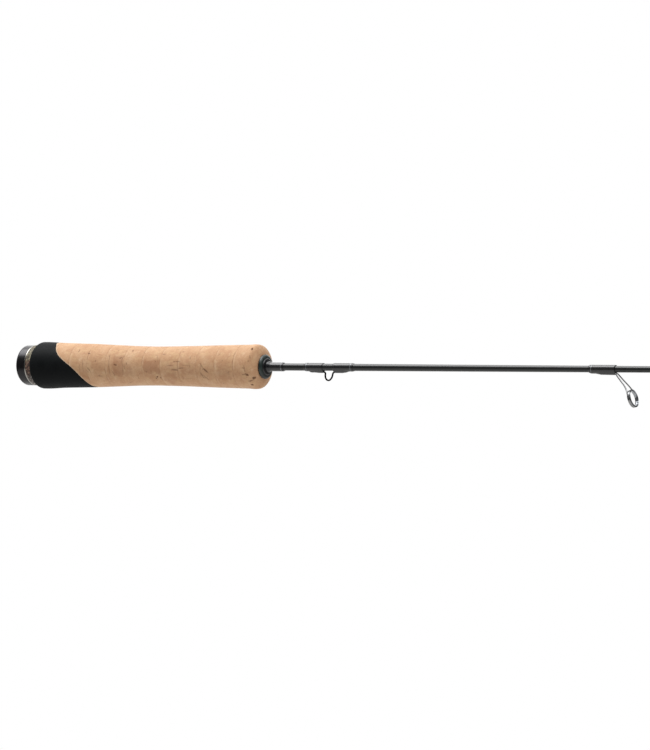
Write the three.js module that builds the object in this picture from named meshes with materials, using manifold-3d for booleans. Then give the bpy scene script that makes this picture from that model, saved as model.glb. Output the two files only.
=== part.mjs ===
// Ice fishing rod with a full-cork (reel-seat-less) handle, single-foot guides and a hook keeper.
// Units are millimetres. +X runs from the butt to the tip, +Z is up and the guides hang below the
// blank, towards -Z. The origin is the centre of the butt cap's flat end face.
import * as THREE from 'three';
import { mergeVertices } from 'three/addons/utils/BufferGeometryUtils.js';
import Module from 'manifold-3d';

const wasm = await Module();
wasm.setup();

// ---------------------------------------------------------------- shared dimensions
// Every x below is measured from a datum that lies this far ahead of the butt cap's end face.
const DATUM_X = 1.5;
const GLUE_LINE = 0.05;            // between faces that are glued together
const GRIP_BORE_CLEARANCE = 0.12;  // between the handle parts and the blank
const WRAP_BORE_CLEARANCE = 0.06;
const GRIP_SIDES = 28;
const WRAP_SIDES = 16;
const WIRE_SIDES = 6;

// blank: [x, radius]; it starts in the butt cap's socket and ends inside the tip-top tube
const BLANK_TAPER = [
  [5.2, 2.28], [60, 2.22], [120, 2.13], [167, 2.06], [256, 1.93], [348, 1.79], [400, 1.72],
  [480, 1.49], [560, 1.23], [640, 0.93], [705.6, 0.62],
];
const BLANK_SIDES = 24;

// ---------------------------------------------------------------- materials
const paint = (settings) => new THREE.MeshStandardMaterial(settings);
const carbon = paint({ color: 0x2b2d30, roughness: 0.22, metalness: 0.1 });
const gunmetal = paint({ color: 0x46474b, roughness: 0.25, metalness: 0.9 });
const chrome = paint({ color: 0xd8d6d2, roughness: 0.12, metalness: 1.0 });
const compositeCork = paint({ color: 0x746a5c, roughness: 0.8, metalness: 0.0 });
const blackGrip = paint({ color: 0x222426, roughness: 0.78, metalness: 0.0 });
const cork = paint({ color: 0xc9a27c, roughness: 0.85, metalness: 0.0 });
const paleCork = paint({ color: 0xd3b08c, roughness: 0.85, metalness: 0.0 });
const blackGloss = paint({ color: 0x1c1d20, roughness: 0.15, metalness: 0.2 });
const thread = paint({ color: 0x17181a, roughness: 0.18, metalness: 0.0 });
const silverThread = paint({ color: 0xb9bbbd, roughness: 0.3, metalness: 0.8 });
const blackWire = paint({ color: 0x1d1e20, roughness: 0.3, metalness: 0.8 });
const polishedSteel = paint({ color: 0xb4b6b8, roughness: 0.16, metalness: 1.0 });
const ringSteel = paint({ color: 0x8f9296, roughness: 0.1, metalness: 1.0 });

// ---------------------------------------------------------------- solids
// A closed solid from a three.js geometry: welded, without slivers, faces outward.
function solid(geometry) {
  // normals and texture coordinates would keep coincident vertices apart
  geometry.deleteAttribute('normal');
  geometry.deleteAttribute('uv');
  const welded = mergeVertices(geometry, 1e-5);
  const { position } = welded.attributes;
  const index = welded.index.array;
  const corner = (k) => new THREE.Vector3().fromBufferAttribute(position, k);
  const triangles = [];
  let volume = 0;
  for (let i = 0; i < index.length; i += 3) {
    const [a, b, c] = [index[i], index[i + 1], index[i + 2]];
    if (a === b || b === c || c === a) continue;
    triangles.push(a, b, c);
    volume += corner(a).dot(corner(b).cross(corner(c)));
  }
  if (volume < 0) {
    for (let i = 0; i < triangles.length; i += 3) {
      [triangles[i + 1], triangles[i + 2]] = [triangles[i + 2], triangles[i + 1]];
    }
  }
  return new wasm.Manifold(new wasm.Mesh({
    numProp: 3,
    vertProperties: new Float32Array(position.array),
    triVerts: new Uint32Array(triangles),
  }));
}

function geometryOf(manifold) {
  const mesh = manifold.getMesh();
  const geometry = new THREE.BufferGeometry();
  geometry.setAttribute('position', new THREE.BufferAttribute(mesh.vertProperties.slice(), 3));
  geometry.setIndex(new THREE.BufferAttribute(mesh.triVerts.slice(), 1));
  geometry.computeVertexNormals();
  return geometry;
}

// Piecewise linear lookup in a table of [x, value]; x lies within the table.
function along(table, x) {
  const next = table.findIndex(([stationX]) => x <= stationX);
  const [x0, value0] = table[next - 1];
  const [x1, value1] = table[next];
  return value0 + ((value1 - value0) * (x - x0)) / (x1 - x0);
}
const blankRadius = (x) => along(BLANK_TAPER, x);

// Shape turned about the X axis from [x, radius] points. The profile is closed on itself unless
// both its ends are on the axis.
function turned(profile, sides) {
  const points = profile.map(([x, radius]) => new THREE.Vector2(radius, x));
  const onAxis = profile[0][1] === 0 && profile.at(-1)[1] === 0;
  if (!onAxis) points.push(points[0].clone());
  return new THREE.LatheGeometry(points, sides).rotateZ(-Math.PI / 2);
}
const turnedSolid = (profile, sides) => solid(turned(profile, sides));

// A turned ring whose bore follows the blank.
function turnedOnBlank(outer, clearance) {
  const x0 = outer[0][0];
  const x1 = outer.at(-1)[0];
  const bore = [x1, x0].map((x) => [x, blankRadius(x) + clearance]);
  return turnedSolid([...outer, ...bore], GRIP_SIDES);
}

// Sections joined in turn into one closed solid. Each is a list of Vector3, all of one length.
function loft(sections) {
  const count = sections[0].length;
  const positions = sections.flat().flatMap((point) => point.toArray());
  const index = [];
  for (let i = 0; i + 1 < sections.length; i++) {
    for (let j = 0; j < count; j++) {
      const here = i * count + j;
      const beside = i * count + ((j + 1) % count);
      index.push(here, beside, here + count, beside, beside + count, here + count);
    }
  }
  const last = (sections.length - 1) * count;
  for (let j = 1; j + 1 < count; j++) {
    index.push(0, j + 1, j);
    index.push(last, last + j, last + j + 1);
  }
  const geometry = new THREE.BufferGeometry();
  geometry.setAttribute('position', new THREE.Float32BufferAttribute(positions, 3));
  geometry.setIndex(index);
  return solid(geometry);
}

// Strip along points. halfSize(t) gives [half width, half height] at the fraction t of the path;
// where the path runs along X, width is along Y and height along Z.
function strip(points, samples, sides, halfSize) {
  const curve = new THREE.CatmullRomCurve3(points, false, 'centripetal');
  const sections = [];
  for (let i = 0; i <= samples; i++) {
    const t = i / samples;
    const centre = curve.getPoint(t);
    const tangent = curve.getTangent(t).normalize();
    const reference = Math.abs(tangent.y) < 0.9
      ? new THREE.Vector3(0, 1, 0)
      : new THREE.Vector3(0, 0, 1);
    const heightAxis = new THREE.Vector3().crossVectors(reference, tangent).normalize();
    const widthAxis = new THREE.Vector3().crossVectors(tangent, heightAxis);
    const [halfWidth, halfHeight] = halfSize(t);
    const section = [];
    for (let j = 0; j < sides; j++) {
      const angle = (2 * Math.PI * (j + 0.5)) / sides;
      section.push(centre.clone()
        .addScaledVector(widthAxis, halfWidth * Math.cos(angle))
        .addScaledVector(heightAxis, halfHeight * Math.sin(angle)));
    }
    sections.push(section);
  }
  return loft(sections);
}
const roundWire = (points, samples, radius) => (
  strip(points, samples, WIRE_SIDES, () => [radius, radius]));

// ---------------------------------------------------------------- assembly
const rod = new THREE.Group();
rod.name = 'ice_fishing_rod';
function add(name, manifold, material) {
  const mesh = new THREE.Mesh(geometryOf(manifold.translate([DATUM_X, 0, 0])), material);
  mesh.name = name;
  rod.add(mesh);
}

function addBlank() {
  const profile = [[BLANK_TAPER[0][0], 0], ...BLANK_TAPER, [BLANK_TAPER.at(-1)[0], 0]];
  add('blank', turnedSolid(profile, BLANK_SIDES), carbon);
}

// ---------------------------------------------------------------- butt cap and its rings
const CAP_RADIUS = 11.75;
const CAP_FRONT_X = 5.35;
// end face and rounded rear edge: [distance from the end face, radius]
const CAP_REAR = [[0, 0], [0, 9.2], [0.22, 10.55], [0.75, 11.35], [1.6, CAP_RADIUS]];
const SPIGOT_RADIUS = 4.6;
const SPIGOT_END_X = 9.5;
const SPIGOT_BORE = SPIGOT_RADIUS + 0.1;   // bore of the rings that fit over the spigot
const SOCKET_FLOOR_X = 5.0;
const SOCKET_RADIUS = BLANK_TAPER[0][1] + GRIP_BORE_CLEARANCE;
const CAP_TRIM_X = [CAP_FRONT_X + GLUE_LINE, 6.2];
const CAP_TRIM_RADIUS = 11.84;
const CAP_TRIM_BEVEL = 0.2;
const COMPOSITE_RING_X = [CAP_TRIM_X[1] + GLUE_LINE, 9.85];

// a disc with a rounded rear edge, and a spigot with a socket for the end of the blank
function addButtCap() {
  add('butt_cap', turnedSolid([
    ...CAP_REAR.map(([distance, radius]) => [distance - DATUM_X, radius]),
    [CAP_FRONT_X, CAP_RADIUS], [CAP_FRONT_X, SPIGOT_RADIUS],
    [SPIGOT_END_X, SPIGOT_RADIUS], [SPIGOT_END_X, SOCKET_RADIUS],
    [SOCKET_FLOOR_X, SOCKET_RADIUS], [SOCKET_FLOOR_X, 0],
  ], GRIP_SIDES), gunmetal);
}

function addCapTrimRing() {
  const [x0, x1] = CAP_TRIM_X;
  add('cap_trim_ring', turnedSolid([
    [x0, SPIGOT_BORE], [x0, CAP_RADIUS], [x0 + CAP_TRIM_BEVEL, CAP_TRIM_RADIUS],
    [x1 - CAP_TRIM_BEVEL, CAP_TRIM_RADIUS], [x1, CAP_RADIUS], [x1, SPIGOT_BORE],
  ], GRIP_SIDES), chrome);
}

function addCompositeRing() {
  const [x0, x1] = COMPOSITE_RING_X;
  add('butt_composite_ring', turnedSolid([
    [x0, SPIGOT_BORE], [x0, CAP_RADIUS], [x1, CAP_RADIUS], [x1, SPIGOT_BORE],
  ], GRIP_SIDES), compositeCork);
}

// ---------------------------------------------------------------- grip sleeve and cork
// rounded rear shoulder of the sleeve: [x, radius]
const SLEEVE_SHOULDER = [
  [COMPOSITE_RING_X[1] + GLUE_LINE, CAP_RADIUS],
  [10.1, 12.45], [10.5, 13.0], [11.15, 13.4], [12.0, 13.6],
];
const SLEEVE_BLOCK_END_X = 56;     // front of the sleeve before the diagonal cut
// outer radius of the turned handle, sleeve and cork alike: [x, radius]
const GRIP_PROFILE = [
  [12.0, 13.6], [15.4, 13.6], [19.1, 13.46], [22.5, 13.25], [26.5, 13.05], [33.8, 12.85],
  [44.7, 12.62], [51.9, 12.42], [59.1, 12.15], [66.3, 11.85], [73.5, 11.55], [80.6, 11.3],
  [87.6, 11.14], [94.7, 11.1], [101.7, 11.18], [108.7, 11.3], [115.7, 11.43], [122.6, 11.58],
  [129.5, 11.74], [136.4, 11.9], [143.2, 12.0], [150.0, 12.13], [156.9, 12.3], [162.2, 12.45],
  [163.3, 12.28], [164.4, 11.35], [165.4, 9.9], [166.1, 8.3], [166.6, 6.9],
];
const CORK_FRONT_X = 166.7;
const CORK_FRONT_RADIUS = 6.6;
const CORK_RING_LENGTH = 12.7;     // half-inch cork discs
const CORK_FIRST_JOINT_X = 26.2;
const CORK_RING_COUNT = 12;
// joint between the sleeve and the cork, a curve in the XZ plane swept along Y: [x, z]
const DIAGONAL_JOINT = [
  [19.0, 16.5], [22.1, 13.2], [24.3, 11.9], [26.0, 10.2], [27.7, 8.4], [29.8, 6.3],
  [32.7, 4.25], [35.6, 2.4], [38.4, 0.6], [41.0, -1.2], [43.6, -3.5], [45.7, -5.9],
  [47.6, -8.3], [49.1, -10.6], [50.1, -11.8], [51.4, -12.7], [55.0, -16.5],
];
const JOINT_BLOCK = { rearX: -5, halfWidth: 18 };   // cutting block, larger than the sleeve
const STATION_MARGIN = 0.3;        // profile points closer than this to a part's end are skipped

const gripRadius = (x) => along(GRIP_PROFILE, x);
const gripStations = (x0, x1) => (
  GRIP_PROFILE.filter(([x]) => x > x0 + STATION_MARGIN && x < x1 - STATION_MARGIN));

// everything behind the diagonal joint, as one block; shift moves the joint towards the tip
function behindJoint(shift) {
  const { rearX, halfWidth } = JOINT_BLOCK;
  const outline = new THREE.Shape();
  outline.moveTo(rearX, DIAGONAL_JOINT[0][1]);
  for (const [x, z] of DIAGONAL_JOINT) outline.lineTo(x + shift, z);
  outline.lineTo(rearX, DIAGONAL_JOINT.at(-1)[1]);
  outline.closePath();
  const block = new THREE.ExtrudeGeometry(outline, {
    depth: 2 * halfWidth, steps: 1, bevelEnabled: false, curveSegments: 1,
  });
  return solid(block.rotateX(Math.PI / 2).translate(0, halfWidth, 0));
}

function addGripSleeve() {
  const sleeve = turnedOnBlank([
    ...SLEEVE_SHOULDER,
    ...gripStations(SLEEVE_SHOULDER.at(-1)[0], SLEEVE_BLOCK_END_X),
    [SLEEVE_BLOCK_END_X, gripRadius(SLEEVE_BLOCK_END_X)],
  ], GRIP_BORE_CLEARANCE);
  add('grip_sleeve', sleeve.intersect(behindJoint(0)), blackGrip);
}

// rear to front; the diagonal joint cuts the first three
function addCorkRings() {
  const sleeveAndGlue = behindJoint(GLUE_LINE);
  for (let i = 0; i < CORK_RING_COUNT; i++) {
    const rear = CORK_FIRST_JOINT_X + (i - 1) * CORK_RING_LENGTH;
    const front = rear + CORK_RING_LENGTH;
    const outer = [[rear + GLUE_LINE / 2, gripRadius(rear)]];
    if (i === CORK_RING_COUNT - 1) {
      outer.push(...gripStations(rear, CORK_FRONT_X), [CORK_FRONT_X, CORK_FRONT_RADIUS]);
    } else {
      outer.push([front - GLUE_LINE / 2, gripRadius(front)]);
    }
    let ring = turnedOnBlank(outer, GRIP_BORE_CLEARANCE);
    if (rear < DIAGONAL_JOINT.at(-2)[0]) ring = ring.subtract(sleeveAndGlue);
    add(`cork_ring_${String(i + 1).padStart(2, '0')}`, ring, i % 2 ? cork : paleCork);
  }
}

// winding check, a stepped collar: [x, radius] of its outer face
const CHECK_PROFILE = [
  [CORK_FRONT_X + GLUE_LINE, 6.55], [167.0, 6.95], [167.7, 6.95], [168.1, 6.4],
  [168.35, 5.6], [168.5, 4.75], [168.95, 4.35], [169.15, 3.8],
];

function addWindingCheck() {
  add('winding_check', turnedOnBlank(CHECK_PROFILE, WRAP_BORE_CLEARANCE), blackGloss);
}

// ---------------------------------------------------------------- thread wraps
const THREAD_BUILD = 0.42;         // thread and epoxy over the blank at the front wrap
// A metallic band let into a wrap: how far it stands over the wrap, the depth of its groove,
// and its gaps to the groove's end walls and floor.
const TRIM = { stand: 0.04, groove: 0.16, endGap: 0.02, floorGap: 0.03 };
const GROOVE_CUTTER_RISE = 2;      // above the wrap
const BORE_OVERRUN = 1;            // past each end of the wrap

// A ring of square section between the given radii.
function squareRing([x0, x1], inner, outer) {
  return turnedSolid([[x0, inner], [x0, outer], [x1, outer], [x1, inner]], WRAP_SIDES);
}

// A wrap and its trim band. The solid skin is grooved for the band, bored for the blank, then
// cut by the cavities in turn.
function addWrap({ name, trimName = `${name}_trim`, skin, span, trim, trimRadius, cavities = [] }) {
  const floor = trimRadius - TRIM.groove;
  const rear = span[0] - BORE_OVERRUN;
  const front = span[1] + BORE_OVERRUN;
  const bore = turnedSolid([
    [rear, 0], [rear, blankRadius(rear) + WRAP_BORE_CLEARANCE],
    [front, blankRadius(front) + WRAP_BORE_CLEARANCE], [front, 0],
  ], WRAP_SIDES);
  let wrap = skin.subtract(squareRing(trim, floor, trimRadius + GROOVE_CUTTER_RISE));
  for (const cutter of [bore, ...cavities]) wrap = wrap.subtract(cutter);
  add(name, wrap, thread);

  const bandSpan = [trim[0] + TRIM.endGap, trim[1] - TRIM.endGap];
  const band = squareRing(bandSpan, floor + TRIM.floorGap, trimRadius + TRIM.stand);
  add(trimName, band, silverThread);
}

// Outline of thread wound over the blank and over something lying along its underside: a circle
// on the axis, whose points move to a smaller circle below it where that one reaches further.
function woundSection(x, radius, bump) {
  const section = [];
  for (let j = 0; j < WRAP_SIDES; j++) {
    const angle = (2 * Math.PI * j) / WRAP_SIDES;
    const y = Math.sin(angle);
    const z = Math.cos(angle);
    const onBump = bump && -bump.depth * z + bump.radius > radius;
    section.push(onBump
      ? new THREE.Vector3(x, bump.radius * y, -bump.depth + bump.radius * z)
      : new THREE.Vector3(x, radius * y, radius * z));
  }
  return section;
}

// front wrap, just ahead of the check
const FRONT_WRAP_X = [CHECK_PROFILE.at(-1)[0] + GLUE_LINE, 180.0];
const FRONT_TRIM_X = [178.65, 179.15];
// epoxy bead against the check: [distance from the wrap's rear end, height over the wrap]
const FRONT_BEAD = [[0, 0.72], [0.8, 0.66], [1.5, 0.34], [2.1, 0.06], [2.6, 0]];
// rounded front end: [distance from the wrap's front end, drop below the wrap]
const FRONT_ROUNDING = [[0.7, 0.02], [0.15, 0.14], [0, 0.3]];

function addFrontWrap() {
  const [x0, x1] = FRONT_WRAP_X;
  const radius = blankRadius(x0) + THREAD_BUILD;
  const skin = turnedSolid([
    [x0, 0],
    ...FRONT_BEAD.map(([distance, height]) => [x0 + distance, radius + height]),
    ...FRONT_ROUNDING.map(([distance, drop]) => [x1 - distance, radius - drop]),
    [x1, 0],
  ], WRAP_SIDES);
  const trimRadius = radius - 0.01;
  addWrap({ name: 'front_wrap', skin, span: FRONT_WRAP_X, trim: FRONT_TRIM_X, trimRadius });
}

// ---------------------------------------------------------------- hook keeper
const KEEPER_WIRE_RADIUS = 0.45;
const KEEPER_FOOT_GAP = 0.06;      // between the feet and the blank
// stations along each foot; the first and the last are the wire's ends
const KEEPER_REAR_FOOT_X = [197.0, 200.6, 204.6];
const KEEPER_FRONT_FOOT_X = [214.4, 218.2, 221.4];
// where the wire leaves each foot, and how far it has dropped there
const KEEPER_BEND = { rearX: 206.25, frontX: 212.9, drop: 0.12 };
// centre line of the loop: [x, z]
const KEEPER_LOOP = [
  [207.05, -3.3], [207.0, -4.4], [207.1, -5.5], [207.65, -6.6], [208.3, -7.07], [209.05, -7.25],
  [209.85, -7.07], [210.5, -6.6], [211.3, -5.6], [211.7, -4.5], [212.1, -3.3],
];
const KEEPER_SAMPLES = 34;
const KEEPER_CHANNEL_CLEARANCE = 0.09;
const KEEPER_BUILD = THREAD_BUILD - 0.1;
const KEEPER_BUMP_RADIUS = KEEPER_WIRE_RADIUS + 0.21;   // thread over a foot

const keeperFootZ = (x) => -(blankRadius(x) + KEEPER_WIRE_RADIUS + KEEPER_FOOT_GAP);

// one wire: two feet along the underside of the blank and a loop between them
function keeperWire(radius) {
  const { rearX, frontX, drop } = KEEPER_BEND;
  const path = [
    ...KEEPER_REAR_FOOT_X.map((x) => [x, keeperFootZ(x)]),
    [rearX, keeperFootZ(rearX) - drop],
    ...KEEPER_LOOP,
    [frontX, keeperFootZ(frontX) - drop],
    ...KEEPER_FRONT_FOOT_X.map((x) => [x, keeperFootZ(x)]),
  ].map(([x, z]) => new THREE.Vector3(x, 0, z));
  return roundWire(path, KEEPER_SAMPLES, radius);
}

// stations: [x, drop below full radius, share of the bump over the foot]
function addKeeperWrap({ name, span, trim, channel, stations }) {
  const radius = blankRadius((span[0] + span[1]) / 2) + KEEPER_BUILD;
  const sunk = KEEPER_WIRE_RADIUS + KEEPER_BUMP_RADIUS * 0.7;   // rise of a bump of share 0
  const bump = (x, share) => (
    { depth: -keeperFootZ(x) - (1 - share) * sunk, radius: KEEPER_BUMP_RADIUS });
  const skin = loft(stations.map(([x, drop, share]) => (
    woundSection(x, radius - drop, share > 0 ? bump(x, share) : null))));
  addWrap({ name, skin, span, trim, trimRadius: radius, cavities: [channel] });
}

function addHookKeeper() {
  add('hook_keeper', keeperWire(KEEPER_WIRE_RADIUS), blackWire);
  const channel = keeperWire(KEEPER_WIRE_RADIUS + KEEPER_CHANNEL_CLEARANCE);

  const [rear0, rear1] = [193.8, 206.0];
  const rearFootEnd = KEEPER_REAR_FOOT_X[0];
  addKeeperWrap({
    name: 'keeper_wrap_rear', span: [rear0, rear1], trim: [195.3, 195.8], channel,
    stations: [
      [rear0, 0.24, 0], [rear0 + 0.2, 0.12, 0], [rear0 + 0.9, 0.02, 0],
      [rearFootEnd - 1.0, 0, 0.25], [rearFootEnd + 1.8, 0, 1],
      [rear1 - 0.35, 0, 1], [rear1, 0.16, 1],
    ],
  });

  const [front0, front1] = [212.8, 226.0];
  const rampX = KEEPER_FRONT_FOOT_X.at(-1) - 1.2;   // middle of the ramp off the front foot
  addKeeperWrap({
    name: 'keeper_wrap_front', span: [front0, front1], trim: [224.1, 224.6], channel,
    stations: [
      [front0, 0.16, 1], [front0 + 0.35, 0, 1],
      [rampX - 1.6, 0, 1], [rampX + 1.6, 0, 0.25],
      [front1 - 0.9, 0.02, 0], [front1 - 0.2, 0.12, 0], [front1, 0.24, 0],
    ],
  });
}

// ---------------------------------------------------------------- guides
// Rear to front. wrap, trim: two ends each; foot: rear end of the foot; ring: x of the ring's
// centre; drop: that centre below the rod's axis; radius: outside of the frame's band;
// band, width: its radial thickness and its length along the rod; wire: radius of a leg;
// lean: degrees, the ring's lower part towards the tip; insert, insertWidth: radial thickness
// and length of the ring inside the band; sides: segments of both.
const GUIDES = [
  { wrap: [371.2, 386.8], trim: [372.75, 373.25], foot: 373.6, ring: 396.6, drop: 15.1, radius: 4.8,
    band: 0.55, width: 1.5, wire: 0.38, lean: 15.3, insert: 0.42, insertWidth: 2.05, sides: 24 },
  { wrap: [457.0, 470.6], trim: [458.0, 458.5], foot: 459.2, ring: 478.0, drop: 10.9, radius: 3.8,
    band: 0.5, width: 1.0, wire: 0.34, lean: 14, insert: 0.38, insertWidth: 1.5, sides: 16 },
  { wrap: [543.6, 555.4], trim: [544.4, 544.85], foot: 545.7, ring: 560.8, drop: 8.0, radius: 3.1,
    band: 0.45, width: 0.9, wire: 0.3, lean: 13, insert: 0.34, insertWidth: 1.3, sides: 16 },
  { wrap: [627.8, 638.2], trim: [628.45, 628.85], foot: 629.8, ring: 642.4, drop: 6.0, radius: 2.55,
    band: 0.4, width: 0.8, wire: 0.27, lean: 12, insert: 0.3, insertWidth: 1.15, sides: 16 },
];
const BAND_BEVEL = { along: 0.12, radial: 0.1 };
const INSERT_GAP = 0.05;           // between the insert and the band
// insert section: bevel as a share of its thickness, flat crest as a share of its width
const INSERT_SHAPE = { bevel: 0.4, crest: 0.35 };
// leg, from the foot's front end to the side of the band: shares of the way
// [along to the ring's centre, down to it, sideways to the band]
const LEG = [
  [0.0, 0.0, 0.19], [0.07, 0.06, 0.29], [0.3, 0.25, 0.4], [0.62, 0.5, 0.54],
  [0.78, 0.66, 0.71], [0.87, 0.77, 0.88], [0.935, 0.88, 0.99], [0.985, 0.985, 1.01],
];
const LEG_SAMPLES = 7;
const LEG_START = 0.3;             // ahead of the wrap
// foot: a flat strip; width is in wire radii, stations are shares of its length, overrun is its
// reach past the wrap's front end
const FOOT = { width: 1.75, gap: 0.1, overrun: 0.5, stations: [0, 0.3, 0.65, 1], samples: 4 };
const FOOT_CLEARANCE = 0.09;

const bandCentreRadius = (guide) => guide.radius - guide.band / 2;

// Turned about the guide's own ring axis, then leaned and put in place.
function turnedOnRing(guide, profile) {
  const place = new THREE.Matrix4().makeTranslation(guide.ring, 0, -guide.drop);
  const lean = new THREE.Matrix4().makeRotationY(THREE.MathUtils.degToRad(-guide.lean));
  return solid(turned(profile, guide.sides).applyMatrix4(place.multiply(lean)));
}

function ringBand(guide) {
  const { radius } = guide;
  const half = guide.width / 2;
  const inner = radius - guide.band;
  const flat = half - BAND_BEVEL.along;
  const edge = radius - BAND_BEVEL.radial;
  return turnedOnRing(guide, [
    [-half, inner], [-half, edge], [-flat, radius], [flat, radius], [half, edge], [half, inner],
  ]);
}

function ringInsert(guide) {
  const half = guide.insertWidth / 2;
  const outer = guide.radius - guide.band - INSERT_GAP;
  const inner = outer - guide.insert;
  const edge = outer - INSERT_SHAPE.bevel * guide.insert;
  const crest = INSERT_SHAPE.crest * half;
  return turnedOnRing(guide, [
    [-half, outer], [-half, edge], [-crest, inner], [crest, inner], [half, edge], [half, outer],
  ]);
}

function guideLeg(guide, start, side) {
  const points = LEG.map(([forward, down, sideways]) => new THREE.Vector3(
    start.x + forward * (guide.ring - start.x),
    side * sideways * bandCentreRadius(guide),
    start.z + down * (-guide.drop - start.z),
  ));
  return roundWire(points, LEG_SAMPLES, guide.wire);
}

// centre line of the foot at x, where its thickness has the given share of the full one
const footZ = (guide, x, share) => -(blankRadius(x) + FOOT.gap + guide.wire * share);

// grow widens the foot all round, for the cavity in the wrap
function guideFoot(guide, grow) {
  const length = guide.wrap[1] + FOOT.overrun - guide.foot;
  const taper = (t) => 0.35 + 0.65 * Math.min(1, t * 2);   // full size from half-way on
  const path = FOOT.stations.map((t) => {
    const x = guide.foot + t * length;
    return new THREE.Vector3(x, 0, footZ(guide, x, taper(t)));
  });
  return strip(path, FOOT.samples, WIRE_SIDES, (t) => [
    guide.wire * FOOT.width * taper(t) + grow,
    guide.wire * taper(t) + grow,
  ]);
}

// room where the legs leave the foot
function legClearance(guide) {
  const x1 = guide.wrap[1];
  const ends = [x1 - 0.6, x1 + 1.5].map((x) => new THREE.Vector3(x, 0, footZ(guide, x1, 1)));
  const halfSize = [guide.wire * FOOT.width * 1.15 + 0.1, guide.wire + 0.12];
  return strip(ends, 1, 8, () => halfSize);
}

// thread over the foot: it ramps up over the foot's tapered end and stops square at the legs
function addGuideWrap(guide, name) {
  const { wrap, foot, trim } = guide;
  const [x0, x1] = wrap;
  const radius = blankRadius((x0 + x1) / 2) + 0.3 + guide.wire * 0.45;
  const bump = (x, share) => ({
    depth: -footZ(guide, x, 1) * share,
    radius: guide.wire * 2.25 * (0.6 + 0.4 * share),
  });
  const skin = loft([
    woundSection(x0, radius - 0.2, null),
    woundSection(x0 + 0.25, radius - 0.05, null),
    woundSection(foot - 0.6, radius, null),
    woundSection(foot + 2.0, radius, bump(foot + 2.0, 0.78)),
    woundSection(foot + 5.2, radius, bump(foot + 5.2, 1)),
    woundSection(x1 - 0.3, radius, bump(x1, 1)),
    woundSection(x1, radius - 0.12, bump(x1, 0.97)),
  ]);
  addWrap({
    name: `${name}_wrap`, trimName: `${name}_trim`, skin, span: wrap, trim,
    trimRadius: radius - 0.02,
    cavities: [guideFoot(guide, FOOT_CLEARANCE), legClearance(guide)],
  });
}

function addGuide(guide, name) {
  const x1 = guide.wrap[1];
  const start = { x: x1 + LEG_START, z: footZ(guide, x1, 1) };
  const frame = guideFoot(guide, 0)
    .add(guideLeg(guide, start, 1))
    .add(guideLeg(guide, start, -1))
    .add(ringBand(guide));
  add(`${name}_frame`, frame, polishedSteel);
  add(`${name}_ring`, ringInsert(guide), ringSteel);
  addGuideWrap(guide, name);
}

// ---------------------------------------------------------------- tip-top
const TIP_TUBE = { x: [697.0, 706.4], bore: 0.69, radius: 0.98, endWall: 0.7 };
// same fields as a guide
const TIP_RING = {
  ring: 709.3, drop: 3.1, radius: 2.35, band: 0.38, width: 0.8, lean: 10,
  insert: 0.3, insertWidth: 1.1, wire: 0.3, sides: 16,
};
// strut from the tube to the band: [x from the ring's centre, z, share of the way sideways]
const TIP_STRUT = [
  [-4.4, -0.62, 0.2], [-3.4, -0.95, 0.3], [-2.2, -1.5, 0.55],
  [-1.1, -2.2, 0.85], [-0.35, -2.8, 1.0], [0.02, -3.15, 1.0],
];
const TIP_STRUT_SAMPLES = 6;
const TIP_WRAP_X = [690.4, 696.9];
const TIP_TRIM_X = [691.0, 691.5];
const TIP_BUILD = 0.3;             // thread and epoxy over the blank

// tube over the end of the blank, closed at its front end
function tipTube() {
  const { x: [x0, x1], bore, radius, endWall } = TIP_TUBE;
  return turnedSolid([
    [x1 - endWall, bore + 0.02], [x1 - endWall, 0], [x1, 0], [x1, radius - 0.3],
    [x1 - 0.4, radius], [x0 + 0.3, radius], [x0, radius - 0.08], [x0, bore + 0.06],
  ], WRAP_SIDES);
}

function tipStrut(side) {
  const points = TIP_STRUT.map(([x, z, sideways]) => new THREE.Vector3(
    TIP_RING.ring + x, side * sideways * bandCentreRadius(TIP_RING), z));
  return roundWire(points, TIP_STRUT_SAMPLES, TIP_RING.wire);
}

function addTipTop() {
  const frame = tipTube().add(tipStrut(1)).add(tipStrut(-1)).add(ringBand(TIP_RING));
  add('tip_top_frame', frame, polishedSteel);
  add('tip_top_ring', ringInsert(TIP_RING), ringSteel);

  const [x0, x1] = TIP_WRAP_X;
  const radius = blankRadius(x0) + TIP_BUILD;
  const skin = turnedSolid([
    [x0, 0], [x0, radius - 0.15], [x0 + 0.2, radius - 0.03], [x0 + 0.4, radius],
    [x1, radius], [x1, 0],
  ], WRAP_SIDES);
  addWrap({
    name: 'tip_top_wrap', trimName: 'tip_top_trim', skin,
    span: TIP_WRAP_X, trim: TIP_TRIM_X, trimRadius: radius,
  });
}

addBlank();
addButtCap();
addCapTrimRing();
addCompositeRing();
addGripSleeve();
addCorkRings();
addWindingCheck();
addFrontWrap();
addHookKeeper();
GUIDES.forEach((guide, i) => addGuide(guide, `guide_${i + 1}`));
addTipTop();

export default rod;
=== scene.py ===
import math

import bpy
import numpy as np
from mathutils import Matrix, Vector


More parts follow.
